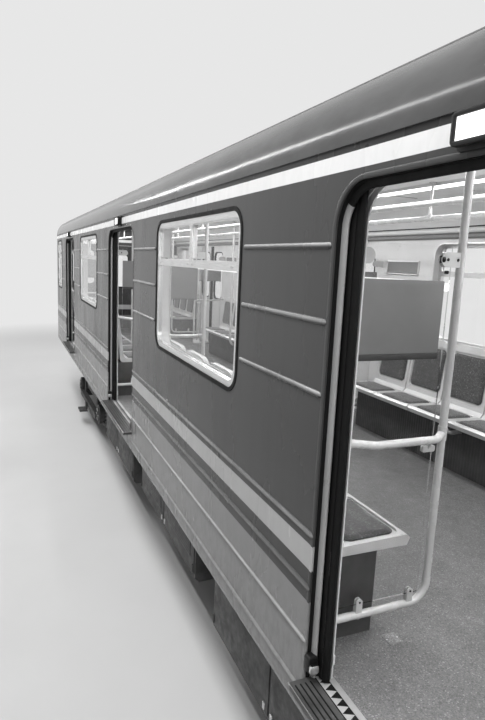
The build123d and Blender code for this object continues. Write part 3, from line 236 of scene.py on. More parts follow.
def rib_stops(top, *marks):
    """Ramp stops that repeat the marks, as (share of a rib's height, level), at every pressed rib."""
    heights = sorted(UPPER_RIBS + LONG_RIBS)
    return [((z + share * RIB_H) / top, level) for z in heights for share, level in marks]


def banded_paint():
    """Gloss body paint in horizontal bands: dust near the foot, faint rain streaks, a painted highlight on
    the ribs' upper slopes and painted shade on their lower halves.
    """
    f = Finish("body_paint", 0.2, 0.3)
    top = RAIL + 3.7
    height = f.map_range(f.axis("Z"), 0.0, top, 0.0, 1.0)
    bands = f.ramp(height, [(low / top, level) for low, level in BANDS], "CONSTANT")
    streaks = f.drift(6.0, 5.0, (0.955, 1.02), (3.0, 3.0, 0.10), (0.32, 0.70))
    drift = f.drift(0.8, 2.0, (0.94, 1.05), (1, 1, 0.6))
    shade = f.mix(1.0, f.mix(1.0, bands, streaks, "MULTIPLY"), drift, "MULTIPLY")
    foot = f.map_range(f.axis("Z"), RAIL + 0.95, RAIL + 1.55, 0.62, 0.05)
    spots = f.drift(26.0, 8.0, (0.0, 1.0), (1, 1, 0.5), (0.42, 0.75), 0.65)
    shade = f.mix(f.mix(1.0, spots, foot, "MULTIPLY"), shade, 0.080)
    square = f.times(f.axis("Y"), f.axis("Y"))
    proud = f.map_range(square, (HALF_W + RIB_D * 0.33) ** 2, (HALF_W + RIB_D * 0.45) ** 2, 0.0, 1.0)
    # Painted highlight: the upper slopes of the ribs are paler, as if lit from above
    rib_painted_highlight = f.ramp(height, rib_stops(top, (-0.10, 0.0), (0.22, 1.0), (0.40, 0.85), (0.52, 0.0)))
    # Painted shade: the lower halves of the ribs are darker
    rib_painted_shade = f.ramp(height, rib_stops(top, (-0.54, 1.0), (-0.40, 0.30), (-0.08, 1.0)))
    # Noise that breaks up the painted highlight
    highlight_breakup = f.drift(9.0, 5.0, (0.30, 0.75), (0.4, 1, 1))
    # The painted shade, only where a rib stands proud of the wall
    shade = f.mix(proud, shade, f.mix(1.0, shade, rib_painted_shade, "MULTIPLY"))
    # The painted highlight, only where a rib stands proud of the wall
    f.colour(f.mix(f.times(f.times(proud, rib_painted_highlight), highlight_breakup), shade, 0.58))
    f.uneven(3.0, 4.0, 0.20, 0.32, (1, 1, 0.4))
    f.bump(f.noise(1.3, 1.0), 0.035, 0.004)
    f.bump(f.noise(700.0, 1.0), 0.05, 0.0002)
    f.gloss(0.18)
    return f.mat


def roof_paint():
    """Dark gloss roof paint: a thin sheet that waves a little, with dust patches, lighter towards the crown.
    """
    f = Finish("roof_paint", 0.12, 0.22)
    dust = f.drift(5.0, 7.0, (0.85, 1.25), (0.5, 1, 1), (0.35, 0.72), 0.65)
    # Lighter towards the crown
    crown = f.map_range(f.axis("Z"), RAIL + 3.40, RAIL + 3.62, 0.075, 0.150)
    f.colour(f.mix(1.0, crown, dust, "MULTIPLY"))
    f.roughness(f.map_range(f.axis("Z"), RAIL + 3.36, RAIL + 3.60, 0.14, 0.70))
    f.bump(f.noise(1.9, 2.0, (1, 2.5, 2.5)), 0.28, 0.006)
    f.bump(f.noise(9.0, 2.0, (1, 2.0, 2.0)), 0.10, 0.0015)
    f.gloss(0.14)
    return f.mat


def smooth_finish(name, level, rough, spread=0.12, grain=40.0, coat=0.0, dent=0.05, gloss=0.5):
    """A moulded or painted surface: slight colour drift, uneven gloss and fine bump."""
    f = Finish(name, level, rough)
    f.colour(f.mix(1.0, level, f.drift(3.5, 5.0, (1.0 - spread, 1.0 + spread * 0.5)), "MULTIPLY"))
    f.uneven(grain / 3, 3.0, max(rough - 0.08, 0.03), min(rough + 0.1, 1.0))
    f.bump(f.noise(grain * 8, 2.0), dent, 0.0005)
    socket(f.bsdf, "Coat Weight", coat)
    f.gloss(gloss)
    return f.mat


def brushed_metal(name, level, rough, along=(0.05, 1, 1)):
    """Bare metal with fine brush lines that run where along is small."""
    f = Finish(name, level, rough, 1.0)
    lines = f.noise(260.0, 3.0, along)
    f.colour(f.ramp(lines, [(0.3, level * 0.86), (0.7, min(level * 1.08, 1.0))]))
    f.uneven(12.0, 4.0, rough - 0.06, rough + 0.10)
    f.bump(lines, 0.06, 0.0003)
    return f.mat


def speckled_floor(name="floor_covering", level=1.0):
    """Grey rail-car floor covering: fine light and dark chips, worn and scuffed in the walkway."""
    f = Finish(name, 0.10, 0.55)
    chips = f.node("ShaderNodeTexVoronoi", feature="F1")
    chips.inputs["Scale"].default_value = 210.0
    f.link(f.mapped(), chips.inputs["Vector"])
    tone = f.ramp(chips.outputs["Color"], [(0.0, 0.045 * level), (0.35, 0.088 * level),
                                           (0.75, 0.112 * level), (1.0, 0.230 * level)])
    scuffs = f.ramp(f.noise(4.5, 9.0, (1, 1, 1), 0.7), [(0.35, 0.80), (0.62, 1.0), (0.8, 1.45)])
    f.colour(f.mix(1.0, tone, scuffs, "MULTIPLY"))
    f.uneven(11.0, 5.0, 0.38, 0.62)
    f.bump(f.noise(420.0, 2.0), 0.12, 0.0004)
    return f.mat


def clear_glass():
    f = Finish("clear_glass", 0.97, 0.0)
    socket(f.bsdf, "Transmission Weight", 1.0)
    socket(f.bsdf, "IOR", 1.14)
    f.colour(f.drift(3.0, 4.0, (0.975, 0.94), span=(0.4, 0.8)))
    f.uneven(6.0, 4.0, 0.0, 0.03, span=(0.45, 0.8))
    return f.mat


def lit_panel(name, strength):
    """A lamp's milky diffuser, faintly ribbed and lit from behind."""
    f = Finish(name, 0.9, 0.35)
    f.link(f.drift(60.0, 2.0, (0.86, 1.0), (1, 0.1, 1)), f.bsdf.inputs["Emission Color"])
    socket(f.bsdf, "Emission Strength", strength)
    return f.mat


def dark_steel(name, level, rough=0.55):
    """Painted steel under the car: dull, with brake dust in patches."""
    f = Finish(name, level, rough)
    dust = f.drift(7.0, 9.0, (0.0, 1.0), span=(0.38, 0.72), rough=0.7)
    f.colour(f.mix(dust, level, level * 2.2 + 0.018))
    f.uneven(18.0, 5.0, rough - 0.12, min(rough + 0.22, 1.0))
    f.bump(f.noise(110.0, 4.0), 0.25, 0.0008)
    return f.mat


def woven_cloth():
    """Dark seat moquette with pale specks in a fine square weave."""
    f = Finish("seat_moquette", 0.06, 0.85)
    flecks = f.node("ShaderNodeTexVoronoi", feature="F1")
    flecks.inputs["Scale"].default_value = 150.0
    f.link(f.mapped(), flecks.inputs["Vector"])
    tone = f.ramp(flecks.outputs["Color"], [(0.0, 0.030), (0.55, 0.060), (0.82, 0.110), (1.0, 0.30)])
    threads = f.mix(1.0, f.wave(190.0, "X"), f.wave(190.0, "Z"), "MULTIPLY")
    nap = f.drift(9.0, 4.0, (0.85, 1.15))
    f.colour(f.mix(1.0, f.mix(0.35, tone, threads, "MULTIPLY"), nap, "MULTIPLY"))
    f.bump(threads, 0.35, 0.0006)
    socket(f.bsdf, "Sheen Weight", 0.35)
    socket(f.bsdf, "Sheen Roughness", 0.5)
    return f.mat


# Bands per metre of a wave texture whose scale is 1
WAVE_UNIT = 3.183


def ribbed_panel(name, level, pitch, direction="X"):
    """A pressed sheet whose shallow flutes run across the given direction."""
    f = Finish(name, level, 0.5)
    flutes = f.wave(1.0 / (pitch * WAVE_UNIT), direction)
    f.colour(f.mix(1.0, level, f.drift(6.0, 6.0, (0.8, 1.2)), "MULTIPLY"))
    f.uneven(20.0, 4.0, 0.40, 0.65)
    f.bump(flutes, 0.6, 0.003)
    return f.mat


PAINT = banded_paint()
ROOF = roof_paint()
RUBBER = smooth_finish("black_rubber", 0.006, 0.62, grain=60.0, dent=0.12, gloss=0.16)
ALUMINIUM = brushed_metal("window_aluminium", 0.74, 0.34)
WHITE_PANEL = smooth_finish("white_lining", 0.60, 0.35, spread=0.08, coat=0.2)
CEILING = smooth_finish("ceiling_panel", 0.64, 0.42, spread=0.06)
CORNICE = smooth_finish("cornice_moulding", 0.16, 0.40, spread=0.10)
TUBE = smooth_finish("painted_tube", 0.52, 0.24, spread=0.10, coat=0.5)
SHELL = smooth_finish("seat_shell", 0.56, 0.34, spread=0.10, coat=0.2)
HEATER = ribbed_panel("heater_panel", 0.055, 0.030)
FLOORING = speckled_floor(level=1.5)
FLOOR_PLATE = speckled_floor("floor_hatch", 2.2)
CLEAR = clear_glass()
LIGHT = lit_panel("light_strip", 2.6)
LENS = lit_panel("door_lamp_lens", 1.6)
LAMP_CASE = smooth_finish("lamp_case", 0.010, 0.45, gloss=0.25)
CLOTH = woven_cloth()
BEAD_PAINT = smooth_finish("doorway_bead", 0.30, 0.34, spread=0.14, gloss=0.4)
NOTICE = smooth_finish("blank_notice", 0.19, 0.45, spread=0.10)
NOTICE_FOOT = smooth_finish("notice_foot", 0.04, 0.45, spread=0.10)
ZINC = brushed_metal("zinc_fitting", 0.62, 0.36, (1, 1, 1))
MARKING = smooth_finish("step_marking", 0.32, 0.55, spread=0.35, grain=90.0)
FRAME_STEEL = dark_steel("frame_steel", 0.030)
MOTOR_STEEL = dark_steel("motor_steel", 0.022, 0.65)
COUPLER_STEEL = dark_steel("coupler_steel", 0.050, 0.5)
STEP_STEEL = dark_steel("step_steel", 0.022, 0.42)
SPRING_STEEL = dark_steel("spring_steel", 0.045, 0.4)
LOUVRE = ribbed_panel("louvred_cover", 0.035, 0.024, "Z")
WHEEL_STEEL = brushed_metal("wheel_steel", 0.30, 0.42, (1, 1, 1))

# Where the finish changes on door leaves, end doors and lamps: the heights of the glass, its half
# thickness or depth, and its half width
LEAF_GLASS_Z = (RAIL + 2.11, RAIL + 2.97)
LEAF_GLASS_T = 0.003
END_GLASS_Z = (RAIL + 2.1, RAIL + 2.9)
END_GLASS_IN = 0.015
END_GLASS_HALF = 0.16
LAMP_OUT = 0.03

# Faces that meet at more than this angle keep a sharp edge; a slab's corner has so many facets
CREASE = math.radians(35)
CORNER_STEPS = 5


def finish_node(node, *materials, pick=None):
    """A CAD node keeps its shape and gets its finish, face by face where pick is given."""
    mesh = NODES[node].data
    mesh.materials.clear()
    for mat in materials:
        mesh.materials.append(mat)
    for face in mesh.polygons:
        face.material_index = pick(face.center, face.normal) if pick else 0


def leaf_finish(place, normal):
    """Faces of a door leaf: 0 paint, 1 rubber nose, 2 glass, 3 inner face."""
    off = abs(place.y) - LEAF_Y
    if LEAF_GLASS_Z[0] < place.z < LEAF_GLASS_Z[1] and abs(abs(off) - LEAF_GLASS_T) < 0.0004:
        return 2
    if abs(abs(off) - NOSE_HALF_T) < 0.0008 or abs(normal.x) > 0.3:
        return 1
    return 3 if off < -LEAF_HALF_T + 0.001 else 0


def end_door_finish(place, normal):
    """Faces of an end door: 0 paint, 1 glass."""
    near = abs(abs(place.x) - BODY_HALF + END_GLASS_IN) < 0.0035
    low, high = END_GLASS_Z
    return 1 if near and abs(place.y) < END_GLASS_HALF and low < place.z < high else 0


def floor_finish(place, normal):
    """Faces of the floor: 0 covering on top, 1 steel."""
    return 0 if normal.z > 0.5 else 1


def lamp_finish(place, normal):
    """Faces of a lamp over a doorway: 0 lens in front, 1 case."""
    return 0 if abs(normal.y) > 0.9 and abs(place.y) > HALF_W + LAMP_OUT else 1


# CAD nodes with one finish each
PLAIN_NODES = (
    (ROOF, ("roof", "roof_vents")),
    (CEILING, ("ceiling",)),
    (LIGHT, ("ceiling_lights",)),
    (CORNICE, ("cornices",)),
    (FRAME_STEEL, ("underframe", "equipment_boxes", "air_tanks")),
    (RUBBER, ("window_gaskets",)),
    (ALUMINIUM, ("window_frames",)),
    (CLEAR, ("window_panes", "glass_screens")),
    (STEP_STEEL, ("thresholds",)),
    (SHELL, ("seats",)),
    (HEATER, ("seat_bases",)),
    (TUBE, ("grab_rails", "overhead_rails")),
)


def build_frame_nodes():
    """Every CAD node keeps its shape and gets its finish."""
    for side, _ in SIDES:
        finish_node(f"side_wall_{side}", PAINT)
        finish_node(f"side_lining_{side}", WHITE_PANEL)
        for number in range(1, len(DOOR_X) + 1):
            for hand in "ab":
                leaf = f"door_leaf_{side}_{number}{hand}"
                finish_node(leaf, PAINT, RUBBER, CLEAR, WHITE_PANEL, pick=leaf_finish)
    for end, _ in ENDS:
        finish_node(f"end_wall_{end}", PAINT)
        finish_node(f"end_door_{end}", PAINT, CLEAR, pick=end_door_finish)
        finish_node(f"bogie_frame_{end}", FRAME_STEEL)
        finish_node(f"axle_springs_{end}", SPRING_STEEL)
        finish_node(f"motors_{end}", MOTOR_STEEL)
        finish_node(f"coupler_{end}", COUPLER_STEEL)
        for number in (1, 2):
            finish_node(f"wheels_{end}_{number}", WHEEL_STEEL)
            finish_node(f"axle_{end}_{number}", FRAME_STEEL)
    finish_node("floor", FLOORING, FRAME_STEEL, pick=floor_finish)
    finish_node("door_lamps", LENS, LAMP_CASE, pick=lamp_finish)
    for mat, nodes in PLAIN_NODES:
        for node in nodes:
            finish_node(node, mat)


def eased(bm, edges, offset, segments=2):
    """Round the edges off by offset."""
    bmesh.ops.bevel(bm, geom=edges, offset=offset, segments=segments, profile=0.5,
                    affect="EDGES", material=-1)


def block(lo, hi, edge=0.0):
    """A block between two corners, its edges eased."""
    bm = bmesh.new()
    bmesh.ops.create_cube(bm, size=1.0)
    bmesh.ops.scale(bm, vec=[abs(b - a) for a, b in zip(lo, hi)], verts=bm.verts)
    bmesh.ops.translate(bm, vec=[(a + b) / 2 for a, b in zip(lo, hi)], verts=bm.verts)
    if edge:
        eased(bm, bm.edges[:], edge)
    return bm


def lies_along(edge, axis):
    run = edge.verts[1].co - edge.verts[0].co
    return abs(run.normalized()[axis]) > 0.99


def rims_of(bm):
    """The edges round the faces with more than four corners."""
    return [e for e in bm.edges if any(len(f.verts) > 4 for f in e.link_faces)]


def slab(lo, hi, axis, corner, edge=0.0):
    """A plate whose outline, seen along axis, has round corners; edge eases its two rims."""
    bm = block(lo, hi)
    eased(bm, [e for e in bm.edges if lies_along(e, axis)], corner, CORNER_STEPS)
    if edge:
        eased(bm, [e for e in rims_of(bm) if not lies_along(e, axis)], edge)
    return bm


def ring(lo, hi, axis, corner, width, edge=0.0):
    """A flat frame with round corners, seen along axis, with an open middle."""
    bm = slab(lo, hi, axis, corner)
    faces = [f for f in bm.faces if abs(f.normal[axis]) > 0.99]
    for face in faces:
        bmesh.ops.inset_region(bm, faces=[face], thickness=width, use_even_offset=True)
    bmesh.ops.delete(bm, geom=faces, context="FACES")
    rims = [e for e in bm.edges if len(e.link_faces) == 1]
    bmesh.ops.bridge_loops(bm, edges=rims)
    bmesh.ops.recalc_face_normals(bm, faces=bm.faces[:])
    if edge:
        eased(bm, [e for e in bm.edges if len(e.link_faces) == 2 and e.calc_face_angle() > 1.0], edge)
    return bm


def disc(centre, axis, radius, depth, edge=0.0, sides=20):
    """A round boss along axis, from centre outwards by depth."""
    bm = bmesh.new()
    bmesh.ops.create_cone(bm, cap_ends=True, cap_tris=False, segments=sides, radius1=radius,
                          radius2=radius, depth=depth)
    if edge:
        eased(bm, rims_of(bm), edge)
    way = Vector(axis).normalized()
    turn = Vector((0, 0, 1)).rotation_difference(way).to_matrix()
    bmesh.ops.rotate(bm, cent=(0, 0, 0), matrix=turn, verts=bm.verts)
    bmesh.ops.translate(bm, vec=Vector(centre) + way * depth / 2, verts=bm.verts)
    return bm


def drawn(profile, moves):
    """A closed profile drawn along moves: ("run", shift) or ("turn", centre, axis, angle, steps, rise)."""
    bm = bmesh.new()
    verts = [bm.verts.new(p) for p in profile]
    edges = [bm.edges.new((a, b)) for a, b in zip(verts, verts[1:] + verts[:1])]
    bm.faces.new(verts)
    for move in moves:
        if move[0] == "run":
            got = bmesh.ops.extrude_edge_only(bm, edges=edges)["geom"]
            verts = [g for g in got if isinstance(g, bmesh.types.BMVert)]
            bmesh.ops.translate(bm, vec=move[1], verts=verts)
        else:
            centre, axis, angle, steps, rise = move[1:]
            step = Vector(axis) * rise / steps
            got = bmesh.ops.spin(bm, geom=edges + verts, cent=centre, axis=axis, dvec=step, angle=angle,
                                 steps=steps, use_merge=False, use_duplicate=False)["geom_last"]
            verts = [g for g in got if isinstance(g, bmesh.types.BMVert)]
        kept = set(verts)
        edges = [e for e in {e for v in verts for e in v.link_edges} if kept.issuperset(e.verts)]
    bmesh.ops.holes_fill(bm, edges=edges)
    bmesh.ops.recalc_face_normals(bm, faces=bm.faces[:])
    return bm


def circle_points(centre, axis, radius, sides):
    """Points round a circle that faces along axis."""
    way = Vector(axis).normalized()
    across = way.orthogonal().normalized()
    turns = [Matrix.Rotation(math.tau * i / sides, 3, way) for i in range(sides)]
    return [Vector(centre) + turn @ across * radius for turn in turns]


def rod(start, end, radius, sides=12, edge=0.0):
    """A round bar from start to end."""
    way = Vector(end) - Vector(start)
    return disc(start, way, radius, way.length, edge, sides)


def about(middle, half):
    """A span about its middle."""
    return middle - half, middle + half


def reach_from(x, way, offs):
    """The span between two distances from x, counted along way, in rising order."""
    return sorted(x + way * off for off in offs)


def corners(part, x, y, z):
    """Two corners of a part that is given from x, y and z as (half width, Y, Y, low, high)."""
    half, y0, y1, low, high = part
    return (x - half, y + y0, z + low), (x + half, y + y1, z + high)


class Piece:
    """A new piece made of several shapes, each with one of its materials."""

    def __init__(self, name, body, slot, materials, place=Matrix.Identity(4)):
        self.name, self.body, self.slot = name, body, slot
        self.materials = materials
        self.place = place
        self.bm = bmesh.new()

    def add(self, shape, mat=0, turn=Matrix.Identity(4)):
        """Take in one shape, moved by turn and place; mat is a material's number or picks one by face."""
        moved = self.place @ turn
        bmesh.ops.transform(shape, matrix=moved, verts=shape.verts)
        if moved.determinant() < 0:
            bmesh.ops.reverse_faces(shape, faces=shape.faces[:])
        for face in shape.faces:
            face.material_index = mat(face) if callable(mat) else mat
        mesh = bpy.data.meshes.new("shape")
        shape.to_mesh(mesh)
        shape.free()
        self.bm.from_mesh(mesh)
        bpy.data.meshes.remove(mesh)

    def done(self, *replaced):
        mesh = bpy.data.meshes.new(self.name)
        self.bm.to_mesh(mesh)
        self.bm.free()
        mesh.shade_smooth()
        mesh.set_sharp_from_angle(angle=CREASE)
        obj = bpy.data.objects.new(self.name, mesh)
        bpy.context.scene.collection.objects.link(obj)
        for mat in self.materials:
            mesh.materials.append(mat)
        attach(obj, self.body)
        if replaced:
            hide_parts(*replaced)
        return obj


# The track side mirrors the platform side, and the rear end is the front end turned round
MIRROR_Y = Matrix.Diagonal((1, -1, 1, 1))
HALF_TURN = Matrix.Rotation(math.pi, 4, "Z")

# How far the back of a fitting lies inside what carries it
SUNK = 0.001


def on_side(way):
    return Matrix.Identity(4) if way > 0 else MIRROR_Y


def at_end(way):
    return Matrix.Identity(4) if way > 0 else HALF_TURN


# Doorway trim: the bead as (reach, middle Y, half width), the black strip painted as the reveal's shade as
# (Y, Y, thickness) and the rolled edge of the outer sheet as (width, height)
BEAD = (0.025, 1.3150, 0.0110)
BEAD_TURN = math.radians(36)
BEAD_LOW = FLOOR - 0.012
REVEAL_SHADE_STRIP = (1.3262, 1.3425, 0.0015)
JAMB_EDGE = (0.020, 0.0026)
TURN_STEPS = 10

# The lining's white edge as (inset, drop of its head, corner), its Y span, and the strike on it
LINING_EDGE = (0.050, 0.006, 0.118)
LINING_EDGE_Y = (1.2500, 1.2560)
STRIKE_X = (-0.006, 0.001)
STRIKE_Z = (RAIL + 1.264, RAIL + 1.308)
STRIKE_PROUD = 0.002

# The hold-open catch: each part as (near, far, margin in Y, low, high, corner, eased edge, material)
CATCH_Z = RAIL + 1.268
CATCH_Y = (1.3120, 1.3560)
CATCH_PARTS = (
    (-0.001, 0.036, 0.0, -0.036, 0.036, 0.014, 0.004, 4),
    # Painted shade: this black plate stands for the dark inside of the catch's mouth
    (0.035, 0.0375, 0.0055, 0.010, 0.031, 0.006, 0.0, 1),
    (0.034, 0.051, 0.0025, -0.030, 0.008, 0.012, 0.004, 2),
    (0.036, 0.049, 0.008, 0.004, 0.0095, 0.002, 0.001, 1),
)

# The step, across the car: the pale bar, the warning teeth, the dark treads and the zinc lip
EDGE_BAR = (1.2420, 1.2685)
TEETH = (1.270, 1.310)
TEETH_BED = (1.268, 1.314)
TOOTH = 0.040
TREADS = (1.340, 1.362, 1.384, 1.406)
TREAD_HALF = 0.003
STEP_LIP = (1.4225, 1.4265)
STEP_SHORT = 0.012


def round_doorway(x, section, low, inset=0.0, drop=0.0, corner=DOOR_R):
    """A section of (distance into the doorway, Y) up one jamb, round the head and down the other."""
    left = x - DOOR_HALF + inset
    profile = [(left + into, y, low) for into, y in section]
    top, quarter = DOOR_HEAD - drop - corner, math.pi / 2
    up, wide = top - low, 2 * (DOOR_HALF - inset - corner)
    return drawn(profile, [("run", (0, 0, up)),
                           ("turn", (left + corner, 0, top), (0, 1, 0), quarter, TURN_STEPS, 0.0),
                           ("run", (wide, 0, 0)),
                           ("turn", (left + corner + wide, 0, top), (0, 1, 0), quarter, TURN_STEPS, 0.0),
                           ("run", (0, 0, -up))])


def bead_section():
    """Half an oval, as (distance into the doorway, Y)."""
    reach, middle, half = BEAD
    return [(reach * math.sin(a), middle - half * math.cos(a)) for a in [math.pi * i / 10 for i in range(11)]]


def jamb_edge_section():
    """The rolled edge of the outer sheet round a doorway."""
    width, proud = JAMB_EDGE
    base, proud = HALF_W - SUNK / 2, proud + SUNK / 2
    return [(width / 2 * (math.cos(a) - 1), base + proud * math.sin(a))
            for a in [math.pi * i / 8 for i in range(9)]]


def flat_section(y0, y1, low, high):
    return [(low, y0), (high, y0), (high, y1), (low, y1)]


def catch(x, inward):
    """The parts of the catch low on a jamb: dark housing, a black plate painted as the shade in its open
    mouth, bright dished tongue and its lip.
    """
    for near, far, margin, low, high, corner, edge, mat in CATCH_PARTS:
        spans = (reach_from(x, inward, (near, far)), (CATCH_Y[0] + margin, CATCH_Y[1] - margin),
                 (CATCH_Z + low, CATCH_Z + high))
        yield slab(*zip(*spans), 0, corner, edge), mat


def bead_part(x):
    """The bead round the doorway at x is bright up the jambs and black across the head."""
    def part(face):
        middle = face.calc_center_median()
        rise = middle.z - (DOOR_HEAD - DOOR_R)
        out = abs(middle.x - x) - (DOOR_HALF - DOOR_R)
        return 1 if rise > 0 and (out <= 0 or math.atan2(rise, out) > BEAD_TURN) else 0
    return part


def doorway_trim(side, way, number, x):
    """The bead, the black strip painted as the reveal's shade, the rolled edge, lining edge and catches of
    one doorway.
    """
    trim = Piece(f"doorway_bead_{side}_{number}", "car_body", "window_frame",
                 (BEAD_PAINT, RUBBER, ALUMINIUM, WHITE_PANEL, LAMP_CASE, PAINT), on_side(way))
    trim.add(round_doorway(x, bead_section(), BEAD_LOW), bead_part(x))
    trim.add(round_doorway(x, jamb_edge_section(), FLOOR + SUNK / 2), 5)
    y0, y1, thick = REVEAL_SHADE_STRIP
    # Painted shade: a black strip lines the reveal, which lies in shade
    trim.add(round_doorway(x, flat_section(y0, y1, -SUNK, thick), BEAD_LOW), 1)
    inset, drop, corner = LINING_EDGE
    y0, y1 = LINING_EDGE_Y
    section = flat_section(y0, y1, -inset - SUNK, 0.0)
    trim.add(round_doorway(x, section, FLOOR + SUNK, inset, drop, corner), 3)
    for s in (-1, 1):
        for shape, mat in catch(x + s * DOOR_HALF, -s):
            trim.add(shape, mat)
        spans = (reach_from(x + s * (DOOR_HALF - inset), s, STRIKE_X), (y0 - STRIKE_PROUD, y1 + STRIKE_PROUD),
                 STRIKE_Z)
        trim.add(slab(*zip(*spans), 0, 0.004, 0.001), 3)
    trim.done()


def step_edge(side, way, number, x):
    """The edge bar, warning teeth, dark treads and zinc lip of one doorway's step."""
    step = Piece(f"step_edge_{side}_{number}", "car_body", "step_plate",
                 (ZINC, MARKING, RUBBER), on_side(way))
    half = DOOR_HALF - STEP_SHORT

    def strip(span, reach, proud, edge, mat, sunk=SUNK):
        step.add(block(*zip(about(x, reach), span, (FLOOR - sunk, FLOOR + proud)), edge), mat)

    strip(EDGE_BAR, half, 0.0025, 0.001, 1)
    strip(TEETH_BED, half, 0.0008, 0.0004, 2)
    y0, y1 = TEETH
    count = int(2 * half / TOOTH)
    pitch = 2 * half / count
    radius = pitch / math.sqrt(3)
    stretch = Matrix.Diagonal((1.0, (y1 - y0) / (1.5 * radius), 1, 1))
    for i in range(count):
        tooth = disc((0, 0, 0), (0, 0, 1), radius, 0.0006, sides=3)
        place = Matrix.Translation((x - half + (i + 0.5) * pitch, y1 - (y1 - y0) / 3, FLOOR + 0.0007))
        step.add(tooth, 1, place @ stretch @ HALF_TURN)
    for y in TREADS:
        strip(about(y, TREAD_HALF), half - 0.020, 0.0015, 0.0007, 2)
    strip(STEP_LIP, half + 0.005, 0.0012, 0.001, 0, 0.004)
    step.done()


def build_doorways():
    for side, way in SIDES:
        for number, x in enumerate(DOOR_X, start=1):
            doorway_trim(side, way, number, x)
            step_edge(side, way, number, x)


# Trims on the leaves: Y spans on both faces, the edge strip, the window rubber and the finger pull,
# which is (distance from the leaf's tip, half width, low, high)
LEAF_FACES = ((1.3005, 1.3025), (1.2675, 1.2695))
EDGE_STRIP_IN = 0.0245
EDGE_STRIP_DROP = 0.018
RUBBER_OUT = 0.016
RUBBER_W = 0.020
PULL = (0.120, 0.016, FLOOR + 0.86, FLOOR + 1.02)


def build_leaf_trims():
    """Rubber edge strips, window rubbers and a finger pull on every door leaf."""
    width, low, high, corner = LEAF_WINDOW
    half, low, high, corner = width / 2 + RUBBER_OUT, low - RUBBER_OUT, high + RUBBER_OUT, corner + RUBBER_OUT
    pull_in, pull_half, *pull_z = PULL
    for side, way in SIDES:
        for number in range(1, len(DOOR_X) + 1):
            for hand, s in (("a", -1), ("b", 1)):
                node = f"door_leaf_{side}_{number}{hand}"
                lo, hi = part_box(node)
                tip = hi[0] if s < 0 else lo[0]
                trim = Piece(f"leaf_trim_{side}_{number}{hand}", node, "window_rubber",
                             (RUBBER, ZINC), on_side(way))
                strip = reach_from(tip, s, (EDGE_STRIP_IN, LEAF_SHOWN))
                window, pull = about(tip + s * LEAF_WINDOW_IN, half), about(tip + s * pull_in, pull_half)
                for ys in LEAF_FACES:
                    trim.add(block(*zip(strip, ys, (lo[2] + 0.001, hi[2] - EDGE_STRIP_DROP)), 0.0006))
                    trim.add(ring(*zip(window, ys, (low, high)), 1, corner, RUBBER_W, 0.0005))
                    trim.add(slab(*zip(pull, ys, pull_z), 1, 0.014, 0.0006), 1)
                trim.done()


# Lamps over the doorways: bezel and back plate as (half width, back, front, low, high)
LAMP_LOW = DOOR_HEAD + 0.028
LAMP_BEZEL = (0.088, 0.018, 0.040, -0.004, 0.079)
LAMP_PLATE = (0.100, -SUNK, 0.006, -0.012, 0.087)
LAMP_SCREW_X = 0.094
LAMP_SCREW_Z = LAMP_LOW + 0.0375


def build_lamps():
    """Dark bezels, back plates and screws round the lamps over the doorways."""
    lamps = Piece("lamp_bezels", "car_body", "lamp_cover", (LAMP_CASE, ZINC))
    for _, way in SIDES:
        lamps.place = on_side(way)
        for x in DOOR_X:
            lamps.add(ring(*corners(LAMP_BEZEL, x, HALF_W, LAMP_LOW), 1, 0.014, 0.013, 0.003))
            lamps.add(slab(*corners(LAMP_PLATE, x, HALF_W, LAMP_LOW), 1, 0.018, 0.002))
            for dx in (-LAMP_SCREW_X, LAMP_SCREW_X):
                lamps.add(disc((x + dx, HALF_W + 0.005, LAMP_SCREW_Z), (0, 1, 0), 0.004, 0.003, 0.001, 10), 1)
    lamps.done()


# How far the pressed ribs end from doorways, windows and corners, and the length of their tips
RIB_DOOR_OFF = 0.034
RIB_WIN_OFF = 0.043
LONG_RIB_OFF = 0.020
TIP_L = 0.020
TIP_SLACK = 0.0001
TIP_BACK = 0.003


def rib_ends():
    """The ends of every pressed rib on one side as (X, Z, direction that the tip points in)."""
    edges = [-BODY_HALF + END_CAP]
    for x in DOOR_X:
        edges += [x - DOOR_HALF, x + DOOR_HALF]
    edges.append(BODY_HALF - END_CAP)
    found = []
    for i, (w0, w1) in enumerate(WINDOWS):
        x0, x1 = edges[2 * i], edges[2 * i + 1]
        left = LONG_RIB_OFF if i == 0 else RIB_DOOR_OFF
        right = LONG_RIB_OFF if i == len(WINDOWS) - 1 else RIB_DOOR_OFF
        for z in UPPER_RIBS:
            found += [(x0 + left, z, -1), (w0 - RIB_WIN_OFF, z, 1)]
            found += [(w1 + RIB_WIN_OFF, z, -1), (x1 - right, z, 1)]
        for z in LONG_RIBS:
            found += [(x0 + LONG_RIB_OFF, z, -1), (x1 - LONG_RIB_OFF, z, 1)]
    return found


def rib_tip():
    """A rounded tip pointing along +X, with its flat end at X = 0."""
    bm = bmesh.new()
    bmesh.ops.create_uvsphere(bm, u_segments=12, v_segments=8, radius=1.0)
    bmesh.ops.rotate(bm, cent=(0, 0, 0), matrix=Matrix.Rotation(math.pi / 2, 3, "Y"), verts=bm.verts)
    bmesh.ops.scale(bm, vec=(TIP_L, RIB_D - TIP_SLACK, RIB_H / 2 - TIP_SLACK), verts=bm.verts)
    for point, normal in (((0, 0, 0), (1, 0, 0)), ((0, -TIP_BACK, 0), (0, 1, 0))):
        bmesh.ops.bisect_plane(bm, geom=bm.verts[:] + bm.edges[:] + bm.faces[:], plane_co=point,
                               plane_no=normal, clear_inner=True)
    bmesh.ops.holes_fill(bm, edges=[e for e in bm.edges if len(e.link_faces) == 1])
    bmesh.ops.recalc_face_normals(bm, faces=bm.faces[:])
    return bm


